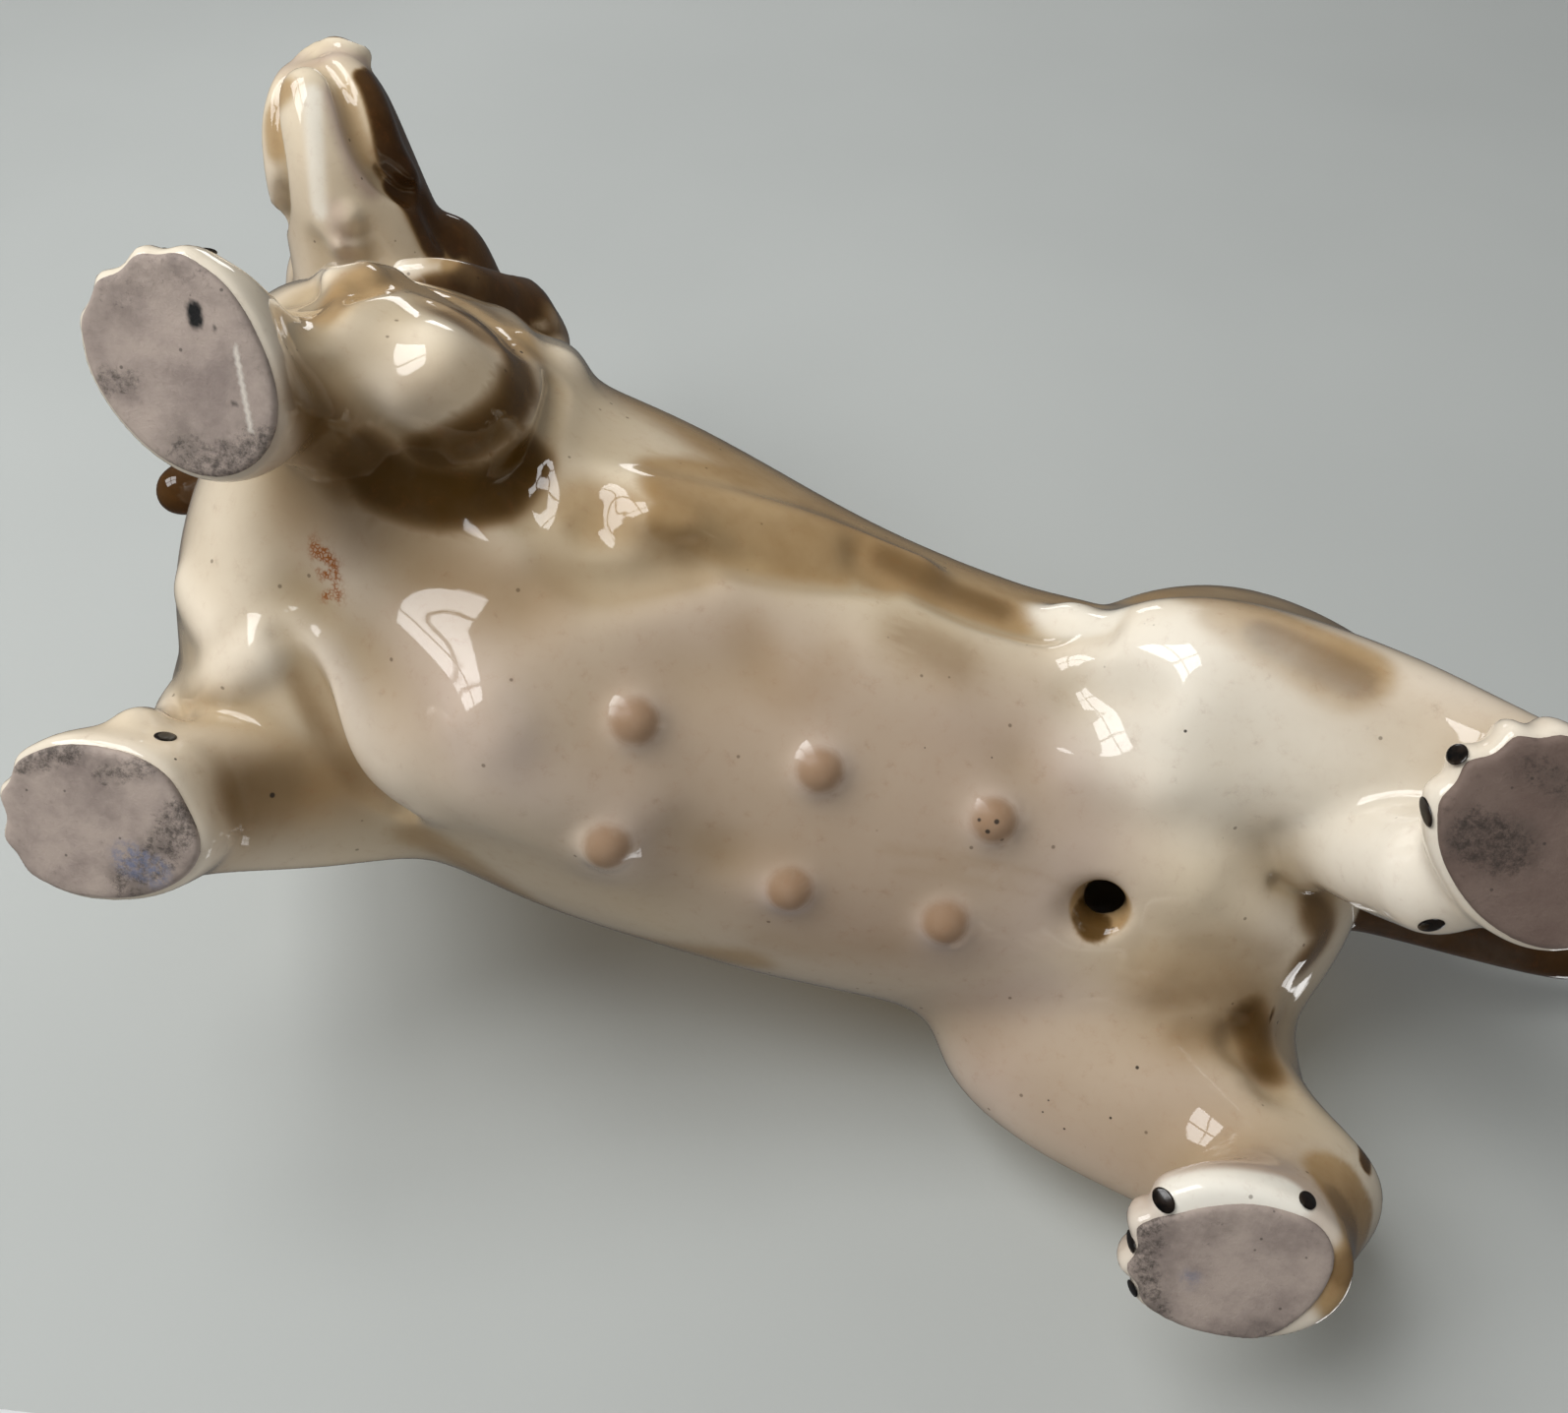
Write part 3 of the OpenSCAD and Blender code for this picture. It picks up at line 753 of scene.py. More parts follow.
def measure_overshoot(places):
    """How far places stand out of the castings' box, by axis and side, but for its floor."""
    out = []
    for axis in range(3):
        for side in (-1, 1):
            limit = CAD_BOX[(side + 1) // 2][axis] / MM
            over = max(side * (place - limit) for place in places[:, axis])
            if over > -TUCK_GAP and (axis, side) != (2, -1):
                out.append((axis, side, over + TUCK_GAP))
    return out


def set_places(mesh, places):
    mesh.vertices.foreach_set("co", (tucked(places) * MM).ravel())
    mesh.update()


def add_object(name, mesh):
    obj = bpy.data.objects.new(name, mesh)
    bpy.context.scene.collection.objects.link(obj)
    return obj


def set_mask(mesh, name, values):
    mask = mesh.attributes.new(name, "FLOAT", "POINT")
    mask.data.foreach_set("value", np.asarray(values, np.float32))


# strokes of the brush
# colour, along pixels of the photograph: half width and soft edge in mm, strength, then the pixels
SEEN_BRUSH = {
    "fawn": (
        # left flank
        (2.6, 3.0, 1.0, ((690, 500), (760, 512), (840, 540), (900, 570))),
        (1.4, 2.4, 1.0, ((800, 545), (880, 570), (950, 596), (1030, 626))),
        (1.0, 4.5, 0.75, ((590, 515), (640, 525), (700, 545))),
        (2.0, 3.0, 1.0, ((680, 482), (762, 492), (852, 518), (941, 568), (1008, 612))),
        (1.4, 2.6, 1.0, ((680, 530), (730, 545), (790, 560), (850, 572))),
        # top of the left thigh
        (1.6, 3.4, 1.0, ((1170, 604), (1230, 608), (1310, 642), (1380, 682))),
        (1.6, 3.0, 1.0, ((1250, 628), (1310, 656), (1368, 692))),
        # folds of the left shoulder
        (1.2, 3.6, 0.95, ((330, 318), (370, 292), (420, 288), (470, 304), (530, 350))),
        # lips and jaw
        (0.6, 2.2, 0.85, ((290, 92), (278, 120), (279, 150))),
        (0.6, 1.4, 0.6, ((352, 95), (362, 130), (374, 160))),
        # beside the root of the left ear
        (1.2, 1.4, 1.0, ((462, 272), (490, 284), (516, 298))),
        # the groin
        (0.8, 8.0, 0.55, ((1195, 1000), (1245, 1005), (1268, 1050))),
        # heel of the right hind foot
        (2.0, 2.0, 1.0, ((1372, 1215), (1385, 1250), (1378, 1290))),
        # cheek
        (1.2, 2.4, 0.9, ((390, 90), (402, 120), (414, 160))),
        # edge of the right flank
        (1.0, 4.0, 0.7, ((430, 850), (560, 925), (640, 955), (760, 975))),
    ),
    # umber strokes, and painted shade in hollows and folds
    "umber_and_shade": (
        # painted shade in the hollow of the left elbow, on the forearm, under the shoulder folds
        # and on the lower side of the elbow's round mass
        (1.2, 4.5, 0.95, ((360, 465), (400, 492), (450, 505), (500, 500), (528, 470))),
        (0.3, 7.5, 0.74, ((312, 400), (328, 440), (350, 480))),
        (0.5, 9.0, 0.4, ((275, 450), (300, 500), (360, 530), (450, 560))),
        (0.8, 5.0, 0.85, ((440, 460), (490, 440), (525, 400))),
        (0.8, 5.0, 0.8, ((484, 326), (512, 350), (530, 385))),
        (0.3, 5.0, 0.62, ((456, 322), (490, 342), (530, 370))),
        (0.5, 8.0, 0.42, ((426, 404), (478, 388), (505, 350))),
        # painted shade in the hollow of the right elbow and along the crease by the right foreleg
        (0.1, 11.0, 0.55, ((240, 812), (310, 800), (350, 790))),
        (0.2, 3.0, 0.45, ((300, 690), (330, 740), (352, 775))),
        # groin and rump, darker: brown paint and painted shade in the folds; a mark on the hock and
        # a dark point in the groin
        (0.2, 5.5, 0.8, ((1268, 1030), (1275, 1055), (1284, 1086))),
        (0.8, 12.0, 0.42, ((1170, 985), (1225, 985), (1262, 1015), (1270, 1060))),
        (0.2, 6.5, 0.42, ((1200, 964), (1245, 958), (1290, 972))),
        (0.2, 7.0, 0.46, ((1185, 1012), (1240, 1004), (1275, 1012))),
        (0.2, 6.5, 0.5, ((1205, 1052), (1250, 1048), (1280, 1056))),
        (0.8, 5.0, 0.7, ((1335, 925), (1345, 950), (1330, 975))),
        (0.1, 1.6, 0.35, ((1296, 893), (1325, 900), (1345, 902))),
        (0.5, 0.9, 0.9, ((1386, 1168), (1388, 1186))),
        (0.3, 0.6, 0.9, ((1291, 1031),)),
        # heel of the right hind foot
        (1.2, 3.2, 0.6, ((1362, 1225), (1376, 1260), (1370, 1290))),
        # painted shade along the crease at the end of the left flank
        (0.2, 5.0, 0.62, ((900, 566), (940, 586), (1015, 618))),
        (0.3, 8.0, 0.34, ((840, 540), (900, 566), (960, 592))),
        # smears on the belly
        (0.5, 6.0, 0.36, ((760, 645), (800, 700), (850, 670))),
        (0.5, 9.0, 0.5, ((925, 652), (965, 668))),
        (0.5, 6.0, 0.32, ((735, 860), (790, 872))),
        (0.5, 6.0, 0.30, ((780, 955), (830, 965), (900, 960))),
        (0.2, 1.3, 0.30, ((900, 862), (980, 872), (1060, 890), (1095, 905))),
        (0.2, 1.1, 0.26, ((905, 882), (980, 893), (1050, 908))),
        # painted shade on the chest behind the left elbow
        (0.5, 10.0, 0.42, ((450, 575), (500, 600), (550, 606))),
        # top of the left thigh
        (0.8, 4.0, 0.6, ((1285, 645), (1330, 668), (1380, 692))),
        # painted shade on the left cheek, and the dark corner of the mouth
        (2.4, 4.0, 0.95, ((416, 140), (428, 190), (442, 236))),
        (0.2, 1.2, 0.8, ((384, 170), (394, 184))),
        # ring of the vent
        (1.5, 1.2, 0.85, ((1104, 930), (1110, 938))),
    ),
    "teat": tuple((1.5, 1.8, 0.95, (pixel,)) for pixel in TEATS),
    "blush": (
        # the belly
        (9.0, 14.0, 1.0, ((720, 760), (850, 830), (1000, 860))),
        (4.0, 12.0, 0.8, ((450, 650), (540, 700), (640, 760))),
        (5.0, 12.0, 0.8, ((1050, 1060), (1150, 1130), (1250, 1230))),
        # under the jaw
        (0.6, 1.8, 1.0, ((338, 100), (350, 140), (364, 172), (376, 190))),
        (0.5, 1.6, 0.9, ((312, 66), (335, 52), (372, 60))),
        (0.4, 2.0, 0.7, ((340, 215), (350, 260))),
        # forearms
        (3.0, 7.0, 0.6, ((300, 440), (350, 530))),
    ),
    "brown": (
        # left cheek, towards the ear: the head's brown, deepened as painted shade
        (2.0, 3.0, 0.9, ((434, 160), (444, 196), (456, 232))),
        (1.4, 1.6, 1.0, ((404, 190), (424, 215), (440, 250))),
    ),
    "rust": (
        # crazing on the chest, and a speck by the throat
        (0.5, 1.3, 1.0, ((328, 564), (334, 580), (337, 602))),
        (0.2, 0.5, 0.8, ((318, 552), (332, 560))),
        (0.2, 0.5, 0.7, ((300, 240),)),
    ),
    "white": (
        # waist: its pale cream, with a painted highlight over it
        (1.5, 3.0, 0.6, ((1072, 618), (1100, 632), (1125, 628))),
        # painted highlight along the ridge of the jaw
        (0.4, 1.4, 0.7, ((318, 95), (320, 150), (325, 215))),
        # the tail, a little lighter underneath
        (0.8, 2.0, 0.05, ((1400, 936), (1470, 956), (1540, 975))),
        # painted light on the left thigh and hock, lighter where they face the light
        (4.0, 12.0, 0.55, ((1180, 700), (1280, 780), (1400, 850))),
        # rim of the right hind foot
        (1.4, 1.8, 1.0, ((1200, 1214), (1250, 1210), (1310, 1214))),
    ),
}

# colour, on the hidden sides: half width and soft edge in mm, strength, then places in mm
BODY_BRUSH = {
    "fawn": (
        # inside the vent
        (3.0, 0.8, 1.0, ((26.7, 13.0, 22.0), (28.5, 12.0, 28.0))),
        # heel of the right hind foot
        (3.4, 2.0, 1.0, ((54.5, 27.5, 8.0), (55.5, 29.5, 5.0), (55.4, 32.5, 2.0),
                         (57.0, 34.0, 5.0))),
        # saddle over the back
        (8.0, 9.0, 1.0, ((-28, -12, 48), (-12, -12, 42), (8, -9, 46), (14, -6, 54))),
        (7.5, 9.0, 1.0, ((-30, -8, 58), (-10, -6, 58), (12, -4, 58))),
        (7.5, 9.0, 1.0, ((-30, 30, 60), (-10, 30, 58), (12, 28, 58))),
        (9.5, 9.0, 1.0, ((-34, 2, 66), (-12, 8, 68), (12, 12, 66))),
        (8.0, 9.0, 1.0, ((-32, 36, 50), (-12, 36, 42), (8, 34, 46), (14, 30, 56))),
        # rump and thighs
        (6.5, 8.0, 1.0, ((34, -12, 56), (50, -6, 56), (62, 4, 58))),
        (7.0, 7.0, 0.9, ((34, -14, 42), (46, -14, 36))),
        (6.5, 8.0, 1.0, ((34, 38, 56), (50, 34, 56), (62, 22, 58))),
        (7.0, 7.0, 0.9, ((34, 40, 42), (46, 40, 36))),
        (7.5, 8.0, 1.0, ((44, 12, 68), (58, 12, 62))),
        # shoulders
        (4.5, 8.0, 0.85, ((-52, -14, 40), (-50, -18, 28))),
        (4.5, 8.0, 0.85, ((-52, 34, 42), (-50, 38, 30))),
    ),
    "umber_and_shade": (
        # middle of the back, and the rump
        (1.0, 16.0, 0.42, ((-24, 4, 70), (0, 8, 70), (14, 12, 68))),
        (1.0, 14.0, 0.36, ((50, 10, 68), (64, 12, 60))),
        # heel of the right hind foot
        (0.8, 4.0, 0.45, ((55.5, 28.5, 7.5), (55.8, 30.5, 4.0), (57.0, 33.0, 4.0))),
    ),
    "blush": (
        # back of the neck, and the breast
        (8.0, 9.0, 0.6, ((-60, -4, 62), (-58, 6, 66))),
        (6.0, 8.0, 0.6, ((-70, 8, 30), (-70, 8, 44))),
    ),
    "brown": (
        # tip of the right ear
        (3.4, 1.4, 1.0, ((-85.4, 8.6, 64.0), (-87.0, 12.2, 57.4))),
    ),
    "white": (
        # pale stripe and tip of the left ear
        (1.0, 2.0, 0.4, ((-69.0, -21.0, 60.0), (-66.5, -22.2, 60.3))),
        (0.8, 1.4, 0.5, ((-52.6, -14.6, 82.0), (-51.2, -13.0, 86.0))),
    ),
}

# colour on the head: half width and soft edge in mm, strength, then places ahead, aside and up
LEFT_BRUSH = {
    "umber_and_shade": (
        # tip of the nose
        (2.3, 1.6, 0.95, ((39.4, 1.4, 5.4), (41.6, 2.6, 3.8))),
    ),
    "brown": (
        # left side of the muzzle and the underside of its lip
        (1.3, 1.3, 1.0, ((36.0, 6.4, -4.8), (31.5, 7.2, -6.8), (28.0, 7.6, -7.8),
                         (24.5, 8.4, -7.2))),
        (1.8, 2.0, 1.0, ((35.5, 7.6, -3.4), (31.6, 8.6, -4.6), (28.3, 9.1, -5.6),
                         (23.4, 9.6, -5.2), (16, 12, -4.5))),
        (2.4, 3.0, 0.9, ((34, 8.4, -0.4), (28, 9.6, -1.6), (20, 11.0, -2.0), (12, 13.0, -1.0))),
    ),
}
# the same on both sides of the head
HEAD_BRUSH = {
    "fawn": (
        # sides and back of the skull
        (7.5, 5.0, 0.95, ((2, 11, 6), (-8, 9, 4))),
        (7.0, 5.0, 0.9, ((-12, 0, 8), (-15, 0, 0))),
    ),
    "umber_and_shade": (
        # bridge of the nose
        (2.0, 5.0, 0.5, ((20, 7, 2), (28, 6, 2))),
    ),
    "blush": (
        # lips
        (1.5, 3.0, 0.8, ((38, 3, -2), (30, 6, -3))),
    ),
    "brown": (
        # from the brow to the ear
        (3.6, 4.0, 0.85, ((13, 8, 7), (5, 10, 8))),
    ),
    "white": (
        # blaze
        (1.5, 3.5, 1.0, ((34, 0, 6), (20, 0, 8), (8, 0, 14), (-2, 0, 15))),
    ),
}

# where the brown of the ears is rubbed thin: half width and soft edge in mm, strength, places
RUBBED = (
    (0.8, 1.8, 0.8, ((-66.0, -22.7, 61.0), (-63.5, -23.0, 62.5))),
    (0.2, 1.0, 0.4, ((-55.5, -18.5, 62.0), (-53.5, -18.5, 70.0), (-52.5, -17.5, 78.0))),
)
# how much fawn shows there
RUBBED_FAWN = 0.9

# castings covered in brown and how strongly, and how far over their joints and how softly
COVERED = {"left_ear": 0.9, "right_ear": 0.9, "tail": 1.0}
COVER_REACH = 3.0
COVER_FADE = 2.6

# the glaze pools in hollows, where its darkening is also painted shade, and thins on crests: blur
# that tells them apart, then the rise over it where each of them starts, and in which it grows
# full, in mm
RELIEF_BLUR = 3.0
POOL_AND_SHADE = (-0.05, 0.7)
ARRIS = (0.35, 0.9)

# single dark pinholes and specks, by pixel, each with its radius in mm
SPOTS = (
    (996, 833, 0.28), (1013, 835, 0.30), (1004, 845, 0.26), (276, 808, 0.34), (178, 772, 0.16),
    (1205, 743, 0.17), (1242, 851, 0.2), (1008, 770, 0.12), (1036, 770, 0.12), (522, 356, 0.16),
    (530, 358, 0.2), (1176, 962, 0.2), (1211, 1034, 0.16), (1156, 1085, 0.2), (1082, 1147, 0.14),
    (1129, 1136, 0.16), (1066, 1118, 0.14), (1060, 1130, 0.12), (940, 760, 0.1), (700, 800, 0.1),
)
# where a spot starts and ends to fade, in parts of its radius
SPOT_EDGE = (0.7, 1.1)


def brushed(places, strokes):
    """A mask from 0 to 1 of strokes: half width and soft edge in mm, strength, and path."""
    mask = np.zeros(len(places))
    for half_width, soft, strength, path in strokes:
        part = np.clip((half_width + soft - distance_to_path(places.T, path)) / soft, 0, 1)
        np.maximum(mask, strength * (part * part * (3 - 2 * part)), out=mask)
    return mask


def strokes_of(colour, clay):
    """All strokes of a colour, each with its path over the figure."""
    for table, path_of in (
        (SEEN_BRUSH, clay.seen_path), (BODY_BRUSH, smooth_path), (LEFT_BRUSH, head_path)
    ):
        for *brush, points in table.get(colour, ()):
            yield *brush, path_of(points)
    for *brush, points in HEAD_BRUSH.get(colour, ()):
        for side in on_both_sides(points):
            yield *brush, head_path(side)


def paint_skin(mesh, places, clay):
    """Writes the painter's masks of the skin: its colours with painted shade among them, and the
    glaze that pools in hollows, darkened also as painted shade.
    """
    masks = {colour: brushed(places, strokes_of(colour, clay)) for colour in SEEN_BRUSH}
    for node, strength in COVERED.items():
        gap = clay.sample(places, clay.casting(node))
        cover = strength * np.clip((COVER_REACH - gap) / COVER_FADE, 0, 1)
        np.maximum(masks["brown"], cover, out=masks["brown"])
    for *brush, points in RUBBED:
        part = brushed(places, [(*brush, smooth_path(points))])
        masks["brown"] *= 1 - part
        np.maximum(masks["fawn"], RUBBED_FAWN * part, out=masks["fawn"])
    coarse = blurred(clay.form[::2, ::2, ::2], RELIEF_BLUR / (2 * clay.step))
    hollow = -clay.sample((places - clay.low) / 2 + clay.low, coarse)
    for name, height, (start, span) in (("pool_and_shade", hollow, POOL_AND_SHADE), ("arris", -hollow, ARRIS)):
        masks[name] = np.clip((height - start) / span, 0, 1)
    for name, mask in masks.items():
        set_mask(mesh, name, mask)


# materials
def feed(tree, socket, value):
    """Links an input to a socket, or sets it to a value."""
    if isinstance(value, bpy.types.NodeSocket):
        tree.links.new(value, socket)
    elif socket.type == "RGBA":
        socket.default_value = (*value[:3], 1.0)
    else:
        socket.default_value = value


def feed_all(tree, node, **values):
    """Feeds inputs by name, with _ for a space."""
    for name, value in values.items():
        feed(tree, node.inputs[name.replace("_", " ")], value)
    return node


def add_node(tree, kind, **values):
    """A node with its settings, in small letters, and its inputs fed, with a capital."""
    node = tree.nodes.new(kind)
    for name, value in values.items():
        if name[0].islower():
            setattr(node, name, value)
    return feed_all(tree, node, **{n: v for n, v in values.items() if n[0].isupper()})


def mixed(tree, part, a, b):
    """The colour a turned to b by a part from 0 to 1."""
    node = tree.nodes.new("ShaderNodeMix")
    node.data_type = "RGBA"
    # the inputs of a mix of colours: its factor, and its two colours
    for socket, value in zip((node.inputs[0], node.inputs[6], node.inputs[7]), (part, a, b)):
        feed(tree, socket, value)
    return node.outputs[2]


def maths(tree, operation, *values):
    node = tree.nodes.new("ShaderNodeMath")
    node.operation = operation
    for socket, value in zip(node.inputs, values):
        feed(tree, socket, value)
    return node.outputs[0]


def times(tree, a, b):
    return maths(tree, "MULTIPLY", a, b)


def ramp(tree, value, low, high, to_low=0.0, to_high=1.0):
    """A value's way from low to high, as a smooth step between two others."""
    return add_node(
        tree, "ShaderNodeMapRange", interpolation_type="SMOOTHSTEP", Value=value,
        From_Min=low, From_Max=high, To_Min=to_low, To_Max=to_high,
    ).outputs[0]


def noise(tree, where, scale, detail=3.0, roughness=0.55, distortion=0.0):
    return add_node(
        tree, "ShaderNodeTexNoise", Vector=where, Scale=scale, Detail=detail,
        Roughness=roughness, Distortion=distortion,
    ).outputs["Fac"]


def new_group(name, kind, inputs, outputs):
    """A node group with named inputs, each with its kind of socket and default, and outputs."""
    tree = bpy.data.node_groups.new(name, kind)
    for label, socket_type, value in inputs:
        socket = tree.interface.new_socket(label, in_out="INPUT", socket_type=socket_type)
        if value is not None:
            socket.default_value = value
    for label, socket_type in outputs:
        tree.interface.new_socket(label, in_out="OUTPUT", socket_type=socket_type)
    ends = [tree.nodes.new(end) for end in ("NodeGroupInput", "NodeGroupOutput")]
    return tree, ends[0].outputs, ends[1].inputs


def specks_group():
    """Fine dark specks, fired into glaze and clay alike."""
    tree, given, out = new_group(
        "Fired specks", "ShaderNodeTree",
        (("Vector", "NodeSocketVector", None), ("Scale", "NodeSocketFloat", 600.0),
         ("Size", "NodeSocketFloat", 0.16), ("Share", "NodeSocketFloat", 0.2)),
        (("Specks", "NodeSocketFloat"),),
    )
    cells = add_node(
        tree, "ShaderNodeTexVoronoi", Vector=given["Vector"], Scale=given["Scale"], Randomness=1.0
    )
    colours = add_node(tree, "ShaderNodeSeparateColor", Color=cells.outputs["Color"])
    chosen = maths(tree, "LESS_THAN", colours.outputs[0], given["Share"])
    part = maths(tree, "DIVIDE", cells.outputs["Distance"], given["Size"])
    tree.links.new(times(tree, ramp(tree, part, 0.6, 1.0, 1.0, 0.0), chosen), out["Specks"])
    return tree


def wobble_group():
    """The slow unevenness and fine orange peel of a fired glaze, as a height."""
    tree, given, out = new_group(
        "Glaze wobble", "ShaderNodeTree",
        (("Vector", "NodeSocketVector", None), ("Slow", "NodeSocketFloat", 120.0),
         ("Fine", "NodeSocketFloat", 700.0)),
        (("Height", "NodeSocketFloat"),),
    )
    slow = noise(tree, given["Vector"], given["Slow"], 2.0)
    fine = noise(tree, given["Vector"], given["Fine"], 1.0)
    tree.links.new(maths(tree, "MULTIPLY_ADD", fine, 0.12, slow), out["Height"])
    return tree


def use_group(tree, group, **values):
    return add_node(tree, "ShaderNodeGroup", node_tree=group, **values).outputs[0]


def new_material(name):
    material = bpy.data.materials.new(name)
    material.use_nodes = True
    tree = material.node_tree
    shader = tree.nodes["Principled BSDF"]
    where = tree.nodes.new("ShaderNodeTexCoord").outputs["Object"]
    return material, tree, shader, where


def mask_of(tree, name):
    return add_node(tree, "ShaderNodeAttribute", attribute_name=name).outputs["Fac"]


def bumped(tree, height, strength, distance):
    return add_node(
        tree, "ShaderNodeBump", Strength=strength, Distance=distance, Height=height
    ).outputs["Normal"]


def frayed(tree, where, name, scale, spread):
    """A painted mask whose soft edge wanders and is broken up a little."""
    hairs = noise(tree, where, scale, 4.0, 0.6, 0.4)
    off = maths(tree, "SUBTRACT", hairs, 0.5)
    return ramp(tree, maths(tree, "MULTIPLY_ADD", off, spread, mask_of(tree, name)), -0.05, 1.05)


def shaded(tree, part, colour, thin, deep):
    """A brushed colour laid over another: thin at the edges of its strokes and deep inside them."""
    colour = mixed(tree, ramp(tree, part, 0.0, 0.85), colour, thin)
    return mixed(tree, ramp(tree, part, 0.3, 1.05), colour, deep)


def spotted(tree, where, clay):
    """1 in each of the single spots, by its distance."""
    total = None
    for across, down, radius in SPOTS:
        gap = add_node(tree, "ShaderNodeVectorMath", operation="DISTANCE", Vector=where)
        gap.inputs[1].default_value = clay.seen((across, down)) * MM
        low, high = (edge * radius * MM for edge in SPOT_EDGE)
        spot = ramp(tree, gap.outputs["Value"], low, high, 1.0, 0.0)
        total = spot if total is None else maths(tree, "MAXIMUM", total, spot)
    return total


def glaze_material(glaze, groups, clay):
    material, tree, shader, where = new_material("Painted glaze")
    cloud = noise(tree, where, 38.0, 3.0, 0.5)
    colour = mixed(tree, ramp(tree, cloud, 0.35, 0.65), glaze.cream, glaze.ivory)
    blush = ramp(tree, noise(tree, where, 24.0, 2.0, 0.5), 0.4, 0.7, 0.0, 0.3)
    blush = maths(tree, "MULTIPLY_ADD", mask_of(tree, "blush"), 0.75, blush)
    colour = mixed(tree, blush, colour, glaze.blush)
    colour = mixed(tree, times(tree, mask_of(tree, "arris"), 0.5), colour, glaze.white)
    # glaze pooled in hollows, darkened also as painted shade
    pool_and_shade = times(tree, mask_of(tree, "pool_and_shade"), ramp(tree, cloud, 0.2, 0.8, 0.5, 0.8))
    colour = mixed(tree, pool_and_shade, colour, glaze.pooled_and_shade)
    slow = noise(tree, where, 90.0, 4.0, 0.6)
    fawn_colour = mixed(tree, ramp(tree, slow, 0.25, 0.75), glaze.fawn, glaze.fawn_light)
    colour = mixed(tree, frayed(tree, where, "fawn", 110.0, 0.22), colour, fawn_colour)
    teat = frayed(tree, where, "teat", 420.0, 0.5)
    colour = mixed(tree, times(tree, teat, 0.9), colour, glaze.teat)
    # umber strokes, and painted shade in hollows and folds
    umber_and_shade = frayed(tree, where, "umber_and_shade", 60.0, 0.15)
    colour = shaded(tree, umber_and_shade, colour, glaze.olive_and_shade, glaze.umber_and_shade)
    brown_colour = mixed(tree, ramp(tree, slow, 0.2, 0.8), glaze.brown_dark, glaze.brown)
    # brown strokes, with painted shade on the left cheek
    brown = frayed(tree, where, "brown", 110.0, 0.22)
    colour = shaded(tree, brown, colour, glaze.fawn, brown_colour)
    # white strokes, with painted highlights on the jaw and waist and painted light on the left
    # thigh and hock
    colour = mixed(tree, frayed(tree, where, "white", 200.0, 0.15), colour, glaze.white)
    grain = noise(tree, where, 700.0, 3.0, 0.7)
    cracks = add_node(
        tree, "ShaderNodeTexVoronoi", feature="DISTANCE_TO_EDGE", Vector=where, Scale=2600.0
    ).outputs["Distance"]
    veins = times(tree, ramp(tree, cracks, 0.05, 0.25, 1.0, 0.3), ramp(tree, grain, 0.4, 0.6))
    rust = frayed(tree, where, "rust", 700.0, 0.9)
    colour = mixed(tree, times(tree, rust, veins), colour, glaze.rust)
    colour = mixed(tree, ramp(tree, grain, 0.62, 0.8, 0.0, 0.12), colour, glaze.speck)
    specks = use_group(tree, groups["specks"], Vector=where, Scale=420.0, Size=0.10, Share=0.3)
    colour = mixed(tree, times(tree, specks, 0.55), colour, glaze.speck)
    colour = mixed(tree, times(tree, spotted(tree, where, clay), 0.9), colour, glaze.grime)
    height = use_group(tree, groups["wobble"], Vector=where, Slow=95.0, Fine=520.0)
    smudge = ramp(tree, noise(tree, where, 55.0, 4.0, 0.6), 0.45, 0.75, 0.05, 0.13)
    smudge = maths(tree, "MULTIPLY_ADD", mask_of(tree, "teat"), 0.45, smudge)
    coat = maths(tree, "MULTIPLY_ADD", mask_of(tree, "teat"), -0.45, 0.5)
    feed_all(
        tree, shader, Base_Color=colour, Roughness=smudge,
        Normal=bumped(tree, height, 0.22, 0.0006),
        IOR=1.5, Specular_IOR_Level=0.25, Coat_Weight=coat, Coat_Roughness=0.02, Coat_IOR=1.5,
    )
    return material


def bisque_material(glaze, groups):
    material, tree, shader, where = new_material("Unglazed sole")
    cloud = noise(tree, where, 190.0, 5.0, 0.62)
    colour = mixed(tree, ramp(tree, cloud, 0.35, 0.75, 0.0, 0.85), glaze.bisque, glaze.bisque_dark)
    # painted shade over the rear left sole
    colour = mixed(tree, times(tree, mask_of(tree, "sole_shade"), 0.75), colour, glaze.sole_shade)
    dust = noise(tree, where, 900.0, 6.0, 0.75)
    loose = maths(tree, "MULTIPLY_ADD", mask_of(tree, "edge"), 0.12, dust)
    colour = mixed(tree, ramp(tree, loose, 0.62, 0.86, 0.0, 0.4), colour, glaze.grime)
    flecks = noise(tree, where, 1100.0, 8.0, 0.85)
    thick = maths(tree, "MULTIPLY_ADD", mask_of(tree, "grime"), 0.36, flecks)
    grime = ramp(tree, thick, 0.68, 0.98, 0.0, 0.85)
    smear = ramp(tree, noise(tree, where, 280.0, 4.0, 0.6), 0.4, 0.66, 0.05, 0.5)
    smear = times(tree, smear, mask_of(tree, "grime"))
    grime = maths(tree, "MAXIMUM", grime, smear)
    colour = mixed(tree, grime, colour, glaze.grime)
    blue = times(tree, mask_of(tree, "blue"), ramp(tree, dust, 0.4, 0.6))
    colour = mixed(tree, blue, colour, glaze.blue)
    colour = mixed(tree, mask_of(tree, "scratch"), colour, glaze.white)
    colour = mixed(tree, mask_of(tree, "ink"), colour, glaze.enamel)
    specks = use_group(tree, groups["specks"], Vector=where, Scale=900.0, Size=0.16, Share=0.12)
    colour = mixed(tree, times(tree, specks, 0.6), colour, glaze.grime)
    pores = noise(tree, where, 1800.0, 4.0, 0.7)
    height = maths(tree, "MULTIPLY_ADD", cloud, 0.6, pores)
    feed_all(
        tree, shader, Base_Color=colour, Roughness=ramp(tree, dust, 0.2, 0.8, 0.62, 0.85),
        Normal=bumped(tree, height, 0.35, 0.0002), IOR=1.45,
    )
    return material


